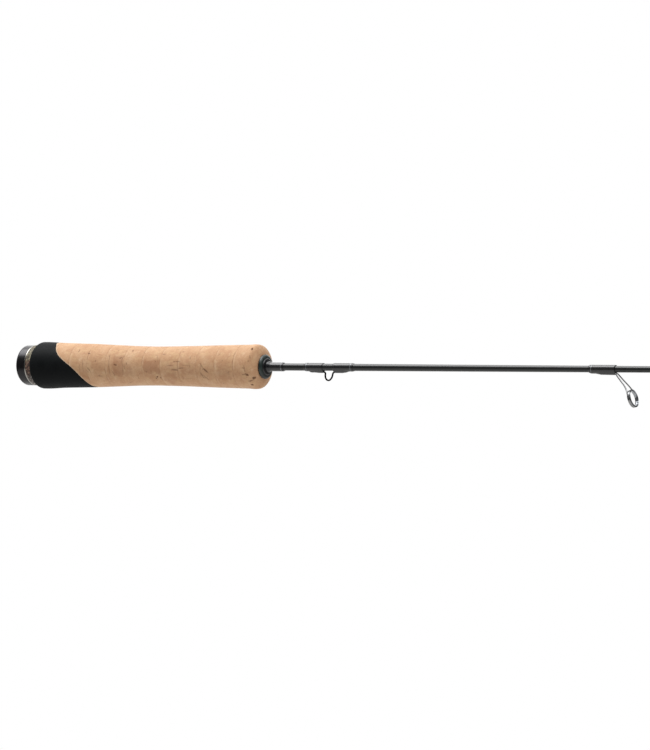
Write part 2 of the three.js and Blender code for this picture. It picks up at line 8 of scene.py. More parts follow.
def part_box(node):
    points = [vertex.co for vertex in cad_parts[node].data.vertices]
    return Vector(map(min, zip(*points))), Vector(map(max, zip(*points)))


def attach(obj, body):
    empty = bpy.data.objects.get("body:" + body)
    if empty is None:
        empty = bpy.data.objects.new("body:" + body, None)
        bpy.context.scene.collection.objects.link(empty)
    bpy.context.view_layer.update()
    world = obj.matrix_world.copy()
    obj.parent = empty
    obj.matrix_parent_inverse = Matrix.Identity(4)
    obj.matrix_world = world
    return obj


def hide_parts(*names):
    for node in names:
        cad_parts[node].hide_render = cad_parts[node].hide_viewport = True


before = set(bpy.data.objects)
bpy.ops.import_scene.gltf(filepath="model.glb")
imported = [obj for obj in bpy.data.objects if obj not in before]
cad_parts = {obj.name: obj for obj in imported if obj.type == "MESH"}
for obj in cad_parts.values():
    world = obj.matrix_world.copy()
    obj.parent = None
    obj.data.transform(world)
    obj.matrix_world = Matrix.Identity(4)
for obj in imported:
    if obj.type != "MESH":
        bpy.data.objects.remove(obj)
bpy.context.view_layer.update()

MM = 0.001
BOX = {n: (np.array(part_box(n)[0]) / MM, np.array(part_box(n)[1]) / MM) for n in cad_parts}

# ------------------------------------------------------------------ numbers shared with the CAD model, in mm
DATUM = 1.5  # every x below is measured from a datum that lies this far ahead of the butt face
BLANK_TAPER = [(5.2, 2.28), (60, 2.22), (120, 2.13), (167, 2.06), (256, 1.93), (348, 1.79), (400, 1.72), (480, 1.49), (560, 1.23), (640, 0.93), (705.6, 0.62)]
GRIP_PROFILE = [
    (12.0, 13.6), (15.4, 13.6), (19.1, 13.46), (22.5, 13.25), (26.5, 13.05), (33.8, 12.85), (44.7, 12.62), (51.9, 12.42),
    (59.1, 12.15), (66.3, 11.85), (73.5, 11.55), (80.6, 11.3), (87.6, 11.14), (94.7, 11.1), (101.7, 11.18), (108.7, 11.3),
    (115.7, 11.43), (122.6, 11.58), (129.5, 11.74), (136.4, 11.9), (143.2, 12.0), (150.0, 12.13), (156.9, 12.3),
    (162.2, 12.45), (163.3, 12.28), (164.4, 11.35), (165.4, 9.9), (166.1, 8.3), (166.6, 6.9),
]
SLEEVE_SHOULDER = [(9.92, 11.3), (9.97, 11.9), (10.16, 12.5), (10.58, 13.05), (11.2, 13.42), (12.0, 13.6)]
DIAGONAL_JOINT = [
    (19.0, 16.5), (22.1, 13.2), (24.3, 11.9), (26.0, 10.2), (27.7, 8.4), (29.8, 6.3), (32.7, 4.25), (35.6, 2.4), (38.4, 0.6),
    (41.0, -1.2), (43.6, -3.5), (45.7, -5.9), (47.6, -8.3), (49.1, -10.6), (50.1, -11.8), (51.4, -12.7), (55.0, -16.5),
]
GUIDES = [
    dict(wrap=(371.2, 386.8), trim=(372.75, 373.25), foot=373.6, ring=396.6, drop=15.1, radius=4.8, band=0.55, width=1.5, wire=0.38, lean=15.3, insert=0.42, insert_width=2.05),
    dict(wrap=(457.0, 470.6), trim=(458.0, 458.5), foot=459.2, ring=478.0, drop=10.9, radius=3.8, band=0.5, width=1.0, wire=0.34, lean=14, insert=0.38, insert_width=1.5),
    dict(wrap=(543.6, 555.4), trim=(544.4, 544.85), foot=545.7, ring=560.8, drop=8.0, radius=3.1, band=0.45, width=0.9, wire=0.3, lean=13, insert=0.34, insert_width=1.3),
    dict(wrap=(627.8, 638.2), trim=(628.45, 628.85), foot=629.8, ring=642.4, drop=6.0, radius=2.55, band=0.4, width=0.8, wire=0.27, lean=12, insert=0.3, insert_width=1.15),
]
TIP = dict(ring=709.3, drop=3.1, radius=2.35, band=0.38, width=0.8, lean=10, insert=0.3, insert_width=1.1, wire=0.3)


# ------------------------------------------------------------------ small maths
def hermite(table, step=0.1):
    """A smooth dense version of a table of (x, y)."""
    xs = np.array([p[0] for p in table], float)
    ys = np.array([p[1] for p in table], float)
    slope = np.diff(ys) / np.diff(xs)
    m = np.empty_like(ys)
    m[0], m[-1] = slope[0], slope[-1]
    h = np.diff(xs)
    m[1:-1] = (slope[:-1] * h[1:] + slope[1:] * h[:-1]) / (h[1:] + h[:-1])
    x = np.linspace(xs[0], xs[-1], int((xs[-1] - xs[0]) / step) + 1)
    i = np.clip(np.searchsorted(xs, x, side="right") - 1, 0, len(xs) - 2)
    t = (x - xs[i]) / h[i]
    y = (2 * t**3 - 3 * t**2 + 1) * ys[i] + (t**3 - 2 * t**2 + t) * h[i] * m[i] + (-2 * t**3 + 3 * t**2) * ys[i + 1] + (t**3 - t**2) * h[i] * m[i + 1]
    return x, y


def curve_points(points, n):
    """n points along a centripetal Catmull-Rom curve through the given points (any dimension), evenly spaced."""
    p = np.array(points, float)
    p = np.vstack([2 * p[0] - p[1], p, 2 * p[-1] - p[-2]])
    out = []
    for i in range(1, len(p) - 2):
        p0, p1, p2, p3 = p[i - 1 : i + 3]
        t1 = np.sqrt(np.linalg.norm(p1 - p0)) + 1e-9
        t2 = t1 + np.sqrt(np.linalg.norm(p2 - p1)) + 1e-9
        t3 = t2 + np.sqrt(np.linalg.norm(p3 - p2)) + 1e-9
        for t in np.linspace(t1, t2, 24, endpoint=False):
            a1 = (t1 - t) / t1 * p0 + t / t1 * p1
            a2 = (t2 - t) / (t2 - t1) * p1 + (t - t1) / (t2 - t1) * p2
            a3 = (t3 - t) / (t3 - t2) * p2 + (t - t2) / (t3 - t2) * p3
            b1 = (t2 - t) / t2 * a1 + t / t2 * a2
            b2 = (t3 - t) / (t3 - t1) * a2 + (t - t1) / (t3 - t1) * a3
            out.append((t2 - t) / (t2 - t1) * b1 + (t - t1) / (t2 - t1) * b2)
    out.append(p[-2])
    out = np.array(out)
    d = np.concatenate([[0], np.cumsum(np.linalg.norm(np.diff(out, axis=0), axis=1))])
    s = np.linspace(0, d[-1], n)
    return np.stack([np.interp(s, d, out[:, k]) for k in range(out.shape[1])], axis=1)


_bx, _br = hermite(BLANK_TAPER, 1.0)
_gx, _gr = hermite(GRIP_PROFILE, 0.1)
blank_r = lambda x: np.interp(x, _bx, _br)
grip_r = lambda x: np.interp(x, _gx, _gr)
_joint = curve_points(DIAGONAL_JOINT, 90)
_jz, _jx = _joint[::-1, 1], _joint[::-1, 0]
joint_x = lambda z: np.interp(z, _jz, _jx)
_jslope = np.gradient(_jx, _jz)


def joint_distance(x, z):
    """Distance of a point ahead of the diagonal joint, negative behind it."""
    return (x - joint_x(z)) / np.sqrt(1 + np.interp(z, _jz, _jslope) ** 2)


def _hash(ix, iy, iz, seed):
    h = (ix * 73856093) ^ (iy * 19349663) ^ (iz * 83492791) ^ (seed * 2654435761)
    h = h & 0xFFFFFFFF
    for _ in range(2):
        h = ((h ^ (h >> 16)) * 0x45D9F3B) & 0xFFFFFFFF
    return (h ^ (h >> 16)) / 4294967295.0


def noise3(p, seed=0):
    i = np.floor(p).astype(np.int64)
    f = p - i
    u = f * f * (3 - 2 * f)
    total = 0
    for a in (0, 1):
        for b in (0, 1):
            for c in (0, 1):
                w = (u[:, 0] if a else 1 - u[:, 0]) * (u[:, 1] if b else 1 - u[:, 1]) * (u[:, 2] if c else 1 - u[:, 2])
                total = total + w * _hash(i[:, 0] + a, i[:, 1] + b, i[:, 2] + c, seed)
    return total


def fbm(p, seed=0, octaves=3):
    total, amp, norm = 0, 1.0, 0.0
    for o in range(octaves):
        total = total + amp * noise3(p * 2**o, seed + 17 * o)
        norm += amp
        amp *= 0.5
    return total / norm


# ------------------------------------------------------------------ meshes
def volume(co, faces):
    total = 0.0
    for k in range(1, faces.shape[1] - 1):
        a, b, c = co[faces[:, 0]], co[faces[:, k]], co[faces[:, k + 1]]
        total += float(np.einsum("ij,ij->i", a, np.cross(b, c)).sum())
    return total


def make_mesh(name, co, faces, tris=None, sharp=None):
    """An object from points in mm and quads (and triangles), facing out, shaded smooth."""
    co = np.asarray(co, float)
    groups = [np.asarray(g, int) for g in (faces, tris) if g is not None and len(g)]
    if sum(volume(co, g) for g in groups) < 0:
        groups = [g[:, ::-1] for g in groups]
    me = bpy.data.meshes.new(name)
    me.from_pydata(((co + [DATUM, 0, 0]) * MM).tolist(), [], [f for g in groups for f in g.tolist()])
    me.validate()
    me.polygons.foreach_set("use_smooth", [True] * len(me.polygons))
    if sharp:
        me.set_sharp_from_angle(angle=math.radians(sharp))
    me.update()
    ob = bpy.data.objects.new(name, me)
    bpy.context.scene.collection.objects.link(ob)
    return ob


def angles(n):
    a = np.arange(n) * 2 * math.pi / n
    return np.sin(a), np.cos(a)


def revolve(profile, n, push=None):
    """Points and quads of a closed profile of (x, r) turned about X. push(x, a, r) gives a radial offset for each point."""
    p = np.asarray(profile, float)
    a = np.arange(n) * 2 * math.pi / n
    X = np.repeat(p[:, 0], n)
    R = np.repeat(p[:, 1], n)
    A = np.tile(a, len(p))
    if push is not None:
        R = R + push(X, A, R)
    co = np.stack([X, R * np.sin(A), R * np.cos(A)], axis=1)
    m = len(p)
    i, j = np.meshgrid(np.arange(m), np.arange(n), indexing="ij")
    i, j = i.ravel(), j.ravel()
    i2, j2 = (i + 1) % m, (j + 1) % n
    return co, np.stack([i * n + j, i2 * n + j, i2 * n + j2, i * n + j2], axis=1)


def revolve_open(profile, n, push=None):
    """As revolve, for a profile whose two ends lie on the axis."""
    p = np.asarray(profile, float)
    inner = p[1:-1]
    co, faces = revolve(inner, n, push)
    faces = faces[: (len(inner) - 1) * n]
    first, last = len(co), len(co) + 1
    co = np.vstack([co, [[p[0, 0], 0, 0], [p[-1, 0], 0, 0]]])
    j = np.arange(n)
    k = (j + 1) % n
    base = (len(inner) - 1) * n
    tris = np.vstack([np.stack([np.full(n, first), j, k], axis=1), np.stack([np.full(n, last), base + k, base + j], axis=1)])
    return co, faces, tris


def rounded(points, closed=False, step=0.3):
    """A polyline of (x, r, fillet) with its corners rounded and its straight runs divided."""
    pts = [np.array(p[:2], float) for p in points]
    fil = [p[2] if len(p) > 2 else 0 for p in points]
    out = []
    m = len(pts)
    for i in range(m):
        if not closed and i in (0, m - 1) or fil[i] == 0:
            out.append(pts[i])
            continue
        a, b, c = pts[i - 1], pts[i], pts[(i + 1) % m]
        u, v = (a - b), (c - b)
        lu, lv = np.linalg.norm(u), np.linalg.norm(v)
        u, v = u / lu, v / lv
        half = math.acos(max(-1, min(1, float(u @ v)))) / 2
        t = min(fil[i] / max(math.tan(half), 1e-6), 0.49 * lu, 0.49 * lv)
        r = t * math.tan(half)
        centre = b + (u + v) / max(np.linalg.norm(u + v), 1e-9) * (r / max(math.sin(half), 1e-6))
        p0, p1 = b + u * t, b + v * t
        a0 = math.atan2(*(p0 - centre)[::-1])
        a1 = math.atan2(*(p1 - centre)[::-1])
        da = (a1 - a0 + math.pi) % (2 * math.pi) - math.pi
        k = 6
        for q in range(k + 1):
            ang = a0 + da * q / k
            out.append(centre + r * np.array([math.cos(ang), math.sin(ang)]))
    if closed:
        out.append(out[0])
    fine = [out[0]]
    for a, b in zip(out[:-1], out[1:]):
        n = max(1, int(math.ceil(np.linalg.norm(b - a) / step)))
        for q in range(1, n + 1):
            fine.append(a + (b - a) * q / n)
    if closed:
        fine = fine[:-1]
    return np.array(fine)


def sweep(points, half, sides=16, up=(0, 1, 0)):
    """A closed rod along points (mm). half(t) gives (half width along the side axis, half height), t from 0 to 1."""
    p = np.asarray(points, float)
    tan = np.gradient(p, axis=0)
    tan /= np.linalg.norm(tan, axis=1)[:, None]
    ref = np.array(up, float)
    co = []
    n = len(p)
    for i in range(n):
        side = ref - tan[i] * (ref @ tan[i])
        side /= np.linalg.norm(side)
        ref = side
        out = np.cross(tan[i], side)
        w, h = half(i / (n - 1))
        for k in range(sides):
            a = 2 * math.pi * (k + 0.5) / sides
            ca, sa = math.cos(a), math.sin(a)
            e = 0.8  # a little squarer than an ellipse
            co.append(p[i] + side * w * math.copysign(abs(ca) ** e, ca) + out * h * math.copysign(abs(sa) ** e, sa))
    faces, tris = [], []
    for i in range(n - 1):
        for k in range(sides):
            k2 = (k + 1) % sides
            faces.append([i * sides + k, i * sides + k2, (i + 1) * sides + k2, (i + 1) * sides + k])
    c0, c1 = len(co), len(co) + 1
    co += [p[0], p[-1]]
    base = (n - 1) * sides
    for k in range(sides):
        k2 = (k + 1) % sides
        tris.append([c0, k2, k])
        tris.append([c1, base + k, base + k2])
    return np.array(co), np.array(faces), np.array(tris)


def boolean(ob, other, operation):
    """Applies a boolean with another object, which is then deleted."""
    mod = ob.modifiers.new("cut", "BOOLEAN")
    mod.operation = operation
    mod.solver = "EXACT"
    mod.object = other
    bpy.context.view_layer.update()
    deps = bpy.context.evaluated_depsgraph_get()
    me = bpy.data.meshes.new_from_object(ob.evaluated_get(deps))
    ob.modifiers.clear()
    old = ob.data
    me.name = old.name
    ob.data = me
    bpy.data.meshes.remove(old)
    data = other.data
    bpy.data.objects.remove(other)
    bpy.data.meshes.remove(data)
    return ob


def smooth(ob, angle=35):
    me = ob.data
    me.polygons.foreach_set("use_smooth", [True] * len(me.polygons))
    me.set_sharp_from_angle(angle=math.radians(angle))
    me.update()
    return ob


def points_of(ob):
    co = np.empty(len(ob.data.vertices) * 3, np.float32)
    ob.data.vertices.foreach_get("co", co)
    return co.reshape(-1, 3).astype(float) / MM - [DATUM, 0, 0]


def attribute(ob, name, values):
    at = ob.data.attributes.new(name, "FLOAT", "POINT")
    at.data.foreach_set("value", np.asarray(values, np.float32))


def place(ob, material, slot, *nodes):
    ob.data.materials.clear()
    ob.data.materials.append(material)
    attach(ob, "root")
    if nodes:
        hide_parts(*nodes)
    return ob


# ------------------------------------------------------------------ materials
def lin(c):
    return tuple((v / 255 / 12.92) if v / 255 <= 0.04045 else ((v / 255 + 0.055) / 1.055) ** 2.4 for v in c) + (1.0,)


class Tree:
    def __init__(self, name):
        self.material = bpy.data.materials.new(name)
        self.material.use_nodes = True
        self.t = self.material.node_tree
        self.t.nodes.clear()
        self.out = self.t.nodes.new("ShaderNodeOutputMaterial")
        self.coord = self.n("ShaderNodeTexCoord").outputs["Object"]

    def n(self, kind, ins=None, **props):
        node = self.t.nodes.new(kind)
        for k, v in props.items():
            setattr(node, k, v)
        for k, v in (ins or {}).items():
            if isinstance(v, bpy.types.NodeSocket):
                self.t.links.new(v, node.inputs[k])
            else:
                node.inputs[k].default_value = v
        return node

    def scaled(self, sx, sy, sz, vector=None, rotation=(0, 0, 0)):
        """Coordinates in units of the given lengths, in mm."""
        return self.n("ShaderNodeMapping", {"Vector": vector or self.coord, "Scale": (1 / (sx * MM), 1 / (sy * MM), 1 / (sz * MM)), "Rotation": rotation}).outputs[0]

    def noise(self, vector, detail=3.0, rough=0.5, distortion=0.0):
        return self.n("ShaderNodeTexNoise", {"Vector": vector, "Scale": 1.0, "Detail": detail, "Roughness": rough, "Distortion": distortion}).outputs[0]

    def voronoi(self, vector, feature="F1", output="Color", randomness=1.0):
        return self.n("ShaderNodeTexVoronoi", {"Vector": vector, "Scale": 1.0, "Randomness": randomness}, feature=feature).outputs[output]

    def ramp(self, fac, stops, interpolation="LINEAR"):
        node = self.n("ShaderNodeValToRGB", {"Fac": fac})
        cr = node.color_ramp
        cr.interpolation = interpolation
        while len(cr.elements) < len(stops):
            cr.elements.new(1.0)
        for e, (pos, col) in zip(cr.elements, stops):
            e.position = pos
            e.color = col if isinstance(col, tuple) else (col, col, col, 1)
        return node.outputs[0]

    def mix(self, fac, a, b, mode="MIX"):
        node = self.n("ShaderNodeMix", data_type="RGBA", blend_type=mode)
        for idx, v in ((0, fac), (6, a), (7, b)):
            if isinstance(v, bpy.types.NodeSocket):
                self.t.links.new(v, node.inputs[idx])
            else:
                node.inputs[idx].default_value = v
        return node.outputs[2]

    def math(self, op, a, b=0.0, c=0.0, clamp=False):
        return self.n("ShaderNodeMath", {0: a, 1: b, 2: c}, operation=op, use_clamp=clamp).outputs[0]

    def attr(self, name):
        return self.n("ShaderNodeAttribute", attribute_name=name).outputs["Fac"]

    def xyz(self):
        return self.n("ShaderNodeSeparateXYZ", {0: self.coord}).outputs

    def bump(self, height, distance_mm, strength=1.0, normal=None):
        ins = {"Height": height, "Strength": strength, "Distance": distance_mm * MM}
        if normal is not None:
            ins["Normal"] = normal
        return self.n("ShaderNodeBump", ins).outputs[0]

    def shader(self, color, rough, metal=0.0, normal=None, **more):
        ins = {"Base Color": color, "Roughness": rough, "Metallic": metal}
        if normal is not None:
            ins["Normal"] = normal
        ins.update(more)
        bsdf = self.n("ShaderNodeBsdfPrincipled", ins)
        self.t.links.new(bsdf.outputs[0], self.out.inputs[0])
        return self.material


def cork_material():
    m = Tree("natural_cork")
    tone, pit, seam, edge = m.attr("tone"), m.attr("pit"), m.attr("seam"), m.attr("edge")
    shift = m.n("ShaderNodeCombineXYZ", {0: m.math("MULTIPLY", tone, 37.0), 1: m.math("MULTIPLY", tone, 91.0), 2: m.math("MULTIPLY", tone, 13.0)}).outputs[0]

    def moved(sx, sy, sz):
        return m.n("ShaderNodeVectorMath", {0: m.scaled(sx, sy, sz), 1: shift}, operation="ADD").outputs[0]

    blotch = m.noise(moved(7, 9, 9), 3, 0.55)
    base = m.ramp(blotch, [(0.3, lin((199, 153, 115))), (0.5, lin((211, 168, 130))), (0.72, lin((221, 183, 146)))])
    patch = m.noise(moved(4.6, 3.4, 3.4), 3, 0.5, 0.3)
    base = m.mix(m.ramp(patch, [(0.54, 0.0), (0.6, 0.22), (0.72, 0.36)]), base, lin((190, 139, 105)))
    warm = m.noise(moved(5.5, 2.6, 2.6), 2, 0.5, 0.2)
    base = m.mix(m.ramp(warm, [(0.55, 0.0), (0.62, 0.4)]), base, lin((222, 186, 142)))
    grain = m.noise(moved(0.55, 0.8, 0.8), 4, 0.6)
    base = m.mix(m.ramp(grain, [(0.35, 0.32), (0.6, 0.0)]), base, lin((176, 130, 94)))
    cells = m.voronoi(moved(0.34, 0.34, 0.34), "DISTANCE_TO_EDGE", "Distance")
    base = m.mix(m.ramp(cells, [(0.0, 0.2), (0.12, 0.0)]), base, lin((188, 142, 104)))
    flecks = m.noise(moved(0.5, 1.3, 1.3), 3, 0.65, 0.4)
    base = m.mix(m.ramp(flecks, [(0.6, 0.0), (0.68, 0.25), (0.8, 0.5)]), base, lin((150, 102, 70)))
    streaks = m.noise(moved(1.5, 0.6, 0.6), 3, 0.6, 0.8)
    base = m.mix(m.ramp(streaks, [(0.6, 0.0), (0.67, 0.28), (0.8, 0.46)]), base, lin((158, 110, 78)))
    pale = m.noise(moved(1.6, 2.4, 2.4), 3, 0.5)
    base = m.mix(m.ramp(pale, [(0.58, 0.0), (0.75, 0.35)]), base, lin((232, 204, 172)))
    base = m.mix(m.math("MULTIPLY", m.attr("stain"), 0.46), base, lin((166, 114, 82)))
    # painted highlight: the cork along the diagonal joint is lightened to stand for light catching its rounded edge
    base = m.mix(m.math("MULTIPLY", edge, 0.65), base, lin((236, 212, 184)))
    base = m.mix(m.math("MULTIPLY", m.attr("halo"), 0.3), base, lin((240, 212, 180)))
    base = m.mix(m.math("MULTIPLY", seam, 0.2), base, lin((122, 80, 52)))
    base = m.mix(m.ramp(pit, [(0.0, 0.0), (0.3, 0.4), (0.8, 0.92)]), base, lin((92, 56, 34)))
    base = m.mix(1.0, base, lin((234, 234, 233)), "MULTIPLY")
    height = m.math("ADD", m.math("MULTIPLY", grain, 0.6), m.math("MULTIPLY", flecks, -0.5))
    normal = m.bump(height, 0.06, 0.55)
    return m.shader(base, 0.72, 0.0, normal, **{"Specular IOR Level": 0.2, "Sheen Weight": 0.1, "Sheen Roughness": 0.5})


def composite_material():
    m = Tree("composite_cork")
    warp = m.noise(m.scaled(1.2, 1.2, 1.2), 2)
    v = m.n("ShaderNodeVectorMath", {0: m.scaled(0.74, 0.74, 0.74), 1: m.n("ShaderNodeVectorMath", {0: warp, 3: 0.9}, operation="SCALE").outputs[0]}, operation="ADD").outputs[0]
    cell = m.voronoi(v, "F1", "Color")
    pick = m.n("ShaderNodeSeparateColor", {0: cell}).outputs[0]
    lit_olive = m.ramp(pick, [
        (0.0, lin((58, 48, 40))), (0.14, lin((92, 82, 64))), (0.34, lin((118, 112, 88))), (0.55, lin((134, 130, 106))),
        (0.76, lin((152, 144, 116))), (0.9, lin((84, 80, 60))), (1.0, lin((52, 46, 38)))], "CONSTANT")
    red = m.ramp(pick, [
        (0.0, lin((60, 40, 34))), (0.2, lin((104, 74, 62))), (0.42, lin((124, 92, 78))), (0.62, lin((142, 118, 100))),
        (0.8, lin((98, 68, 56))), (0.93, lin((58, 44, 38))), (1.0, lin((150, 132, 112)))], "CONSTANT")
    x, y, z = m.xyz()
    # painted light and shade by height: the olive palette is kept for the lit top, the red-brown palette below stands
    # for shade, and a grey palette is used at the very bottom
    low = m.math("ADD", m.math("MULTIPLY", z, -60.0), m.math("MULTIPLY", m.noise(m.scaled(5, 5, 5), 2), 1.6))
    grey = m.ramp(pick, [
        (0.0, lin((50, 46, 44))), (0.2, lin((96, 92, 88))), (0.4, lin((134, 130, 126))), (0.6, lin((74, 66, 62))),
        (0.8, lin((160, 156, 152))), (0.92, lin((58, 54, 52))), (1.0, lin((112, 104, 98)))], "CONSTANT")
    base = m.mix(m.ramp(low, [(0.55, 0.0), (0.85, 1.0)]), lit_olive, red)
    deep = m.math("ADD", m.math("MULTIPLY", z, -70.0), m.math("MULTIPLY", m.noise(m.scaled(5, 5, 5), 2), 0.8))
    base = m.mix(m.ramp(deep, [(0.74, 0.0), (0.9, 0.85)]), base, grey)
    edge = m.voronoi(v, "DISTANCE_TO_EDGE", "Distance")
    base = m.mix(m.ramp(edge, [(0.0, 0.7), (0.09, 0.0)]), base, lin((62, 50, 42)))
    fine = m.noise(m.scaled(0.22, 0.22, 0.22), 3)
    base = m.mix(0.35, base, m.ramp(fine, [(0.3, 0.1), (0.7, 0.5)]), "OVERLAY")
    height = m.math("ADD", m.ramp(edge, [(0.0, 0.0), (0.15, 1.0)]), m.math("MULTIPLY", fine, 0.5))
    return m.shader(base, 0.6, 0.0, m.bump(height, 0.08, 0.6), **{"Specular IOR Level": 0.4})


def sleeve_material():
    m = Tree("black_grip")
    grain = m.noise(m.scaled(0.16, 0.16, 0.16), 3, 0.6)
    soft = m.noise(m.scaled(5, 5, 5), 3)
    base = m.ramp(soft, [(0.3, lin((16, 18, 19))), (0.7, lin((20, 22, 23)))])
    base = m.mix(m.ramp(grain, [(0.55, 0.0), (0.75, 0.35)]), base, lin((33, 35, 36)))
    rough = m.ramp(soft, [(0.3, 0.5), (0.7, 0.6)])
    return m.shader(base, rough, 0.0, m.bump(grain, 0.03, 0.5), **{"Specular IOR Level": 0.05})


def gunmetal_material():
    m = Tree("gunmetal")
    x, y, z = m.xyz()
    radius = m.math("SQRT", m.math("ADD", m.math("MULTIPLY", y, y), m.math("MULTIPLY", z, z)))
    turned = m.math("SINE", m.math("MULTIPLY", radius, 2 * math.pi / (0.16 * MM)))
    cloud = m.noise(m.scaled(3, 3, 3), 4)
    streak = m.noise(m.scaled(0.12, 4, 4), 3)
    base = m.ramp(cloud, [(0.3, lin((42, 42, 44))), (0.7, lin((49, 48, 50)))])
    rough = m.ramp(m.math("ADD", m.math("MULTIPLY", cloud, 0.5), m.math("MULTIPLY", streak, 0.5)), [(0.35, 0.2), (0.65, 0.27)])
    return m.shader(base, rough, 0.9, m.bump(turned, 0.0015, 0.2), **{"Coat Weight": 0.08, "Coat Roughness": 0.12})


def metal_material(name, low, high, rough_low, rough_high, coat=0.0, grain=(0.5, 0.5, 0.5), bump=0.004):
    m = Tree(name)
    cloud = m.noise(m.scaled(*grain), 4)
    fine = m.noise(m.scaled(grain[0] * 0.2, grain[1] * 0.2, grain[2] * 0.2), 2)
    base = m.ramp(cloud, [(0.3, lin(low)), (0.7, lin(high))])
    rough = m.ramp(fine, [(0.3, rough_low), (0.7, rough_high)])
    return m.shader(base, rough, 1.0, m.bump(fine, bump, 0.3), **{"Coat Weight": coat, "Coat Roughness": 0.05})


def check_material():
    m = Tree("check_with_painted_reflection")
    x, y, z = m.xyz()
    radius = m.math("SQRT", m.math("ADD", m.math("MULTIPLY", y, y), m.math("MULTIPLY", z, z)))
    turned = m.math("SINE", m.math("MULTIPLY", radius, 2 * math.pi / (0.11 * MM)))
    cloud = m.noise(m.scaled(1.5, 1.5, 1.5), 3)
    # painted reflection: the teal tint of the rounded front band stands for green-tinted reflections on a black part
    base = m.ramp(cloud, [(0.3, lin((32, 44, 41))), (0.7, lin((41, 54, 50)))])
    # painted shade: the rear rim is painted near-black where it reflects the dark surroundings
    rim = m.math("MULTIPLY", m.math("SUBTRACT", (167.42 + DATUM) * MM, x), 1 / (0.2 * MM), clamp=True)
    # painted shade: the colour darkens and the coat thins toward the bottom
    low = m.math("MULTIPLY", m.math("SUBTRACT", -2.2 * MM, z), 1 / (3.5 * MM), clamp=True)
    hub = m.math("MULTIPLY", m.math("SUBTRACT", 5.15 * MM, radius), 1 / (0.25 * MM), clamp=True)
    base = m.mix(m.math("MAXIMUM", m.math("MULTIPLY", low, 0.6), m.math("MAXIMUM", rim, hub)), base, lin((13, 13, 15)))
    rough = m.ramp(cloud, [(0.3, 0.34), (0.7, 0.42)])
    return m.shader(base, rough, 0.15, m.bump(turned, 0.0012, 0.2), **{"Coat Weight": m.math("MULTIPLY_ADD", low, -0.42, 0.5), "Coat Roughness": 0.2})


def thread_material(name, dark, light, metal, pitch=0.2, coat=0.5):
    """Fine thread side by side under a clear coat."""
    m = Tree(name)
    x, y, z = m.xyz()
    wobble = m.math("MULTIPLY", m.noise(m.scaled(1.5, 1.2, 1.2), 2), 0.0001)
    phase = m.math("MULTIPLY", m.math("ADD", x, wobble), 2 * math.pi / (pitch * MM))
    turns = m.math("MULTIPLY_ADD", m.math("SINE", phase), 0.5, 0.5)
    strand = m.noise(m.scaled(0.2, 0.9, 0.9), 3)
    base = m.ramp(turns, [(0.0, lin(dark)), (0.45, lin(light)), (1.0, lin(light))])
    base = m.mix(m.ramp(strand, [(0.35, 0.55), (0.65, 0.0)]), base, lin(dark))
    normal = m.bump(turns, 0.02, 0.5)
    return m.shader(base, 0.35, metal, normal, **{"Coat Weight": coat, "Coat Roughness": 0.05, "Coat IOR": 1.7, "Specular IOR Level": 0.25})


def blank_material():
    m = Tree("carbon_blank")
    fibre = m.noise(m.scaled(14, 0.16, 0.16), 4, 0.6)
    x, y, z = m.xyz()
    tape = m.math("SINE", m.math("ADD", m.math("MULTIPLY", x, 2 * math.pi / (3.1 * MM)), m.math("ARCTAN2", y, z)))
    base = m.ramp(fibre, [(0.35, lin((20, 22, 22))), (0.62, lin((32, 35, 35))), (0.8, lin((44, 47, 47)))])
    base = m.mix(m.ramp(tape, [(0.0, 0.0), (1.0, 0.18)]), base, lin((30, 32, 34)))
    rough = m.ramp(fibre, [(0.3, 0.3), (0.7, 0.42)])
    return m.shader(base, rough, 0.25, m.bump(tape, 0.0015, 0.2), **{"Coat Weight": 0.5, "Coat Roughness": 0.04, "Coat IOR": 1.55, "Specular IOR Level": 0.25})


def wire_material():
    m = Tree("black_wire")
    cloud = m.noise(m.scaled(0.6, 0.3, 0.3), 4)
    base = m.ramp(cloud, [(0.3, lin((10, 10, 11))), (0.7, lin((20, 20, 22)))])
    return m.shader(base, m.ramp(cloud, [(0.3, 0.3), (0.7, 0.42)]), 0.0, m.bump(cloud, 0.01, 0.3), **{"Specular IOR Level": 0.06})


CORK = cork_material()
COMPOSITE = composite_material()
SLEEVE = sleeve_material()
GUNMETAL = gunmetal_material()
CHROME = metal_material("chrome_trim", (150, 148, 143), (176, 174, 168), 0.05, 0.1)
CHECK = check_material()
THREAD = thread_material("black_thread", (10, 10, 12), (26, 27, 30), 0.0)
SILVER = thread_material("silver_thread", (70, 73, 76), (140, 144, 148), 0.7, 0.16)
BLANK = blank_material()
WIRE = wire_material()
STEEL = metal_material("polished_steel", (128, 129, 130), (154, 155, 156), 0.1, 0.18, grain=(1.2, 0.4, 0.4))
TIP_STEEL = metal_material("tip_steel", (96, 98, 101), (120, 123, 126), 0.14, 0.24, grain=(1.2, 0.4, 0.4))
RING = metal_material("guide_ring", (146, 149, 153), (174, 177, 181), 0.05, 0.1, grain=(0.3, 0.8, 0.8))

# ------------------------------------------------------------------ blank
xs = np.unique(np.concatenate([np.linspace(5.2, 705.6, 180), [6.0, 705.2]]))
profile = [(5.2, 0)] + [(x, float(blank_r(x)) - (0.15 if x < 5.3 else 0.12 if x > 705.5 else 0)) for x in xs] + [(705.6, 0)]
co, quads, tris = revolve_open(profile, 64)
place(make_mesh("rod_blank", co, quads, tris, 40), BLANK, "carbon_blank", "blank")

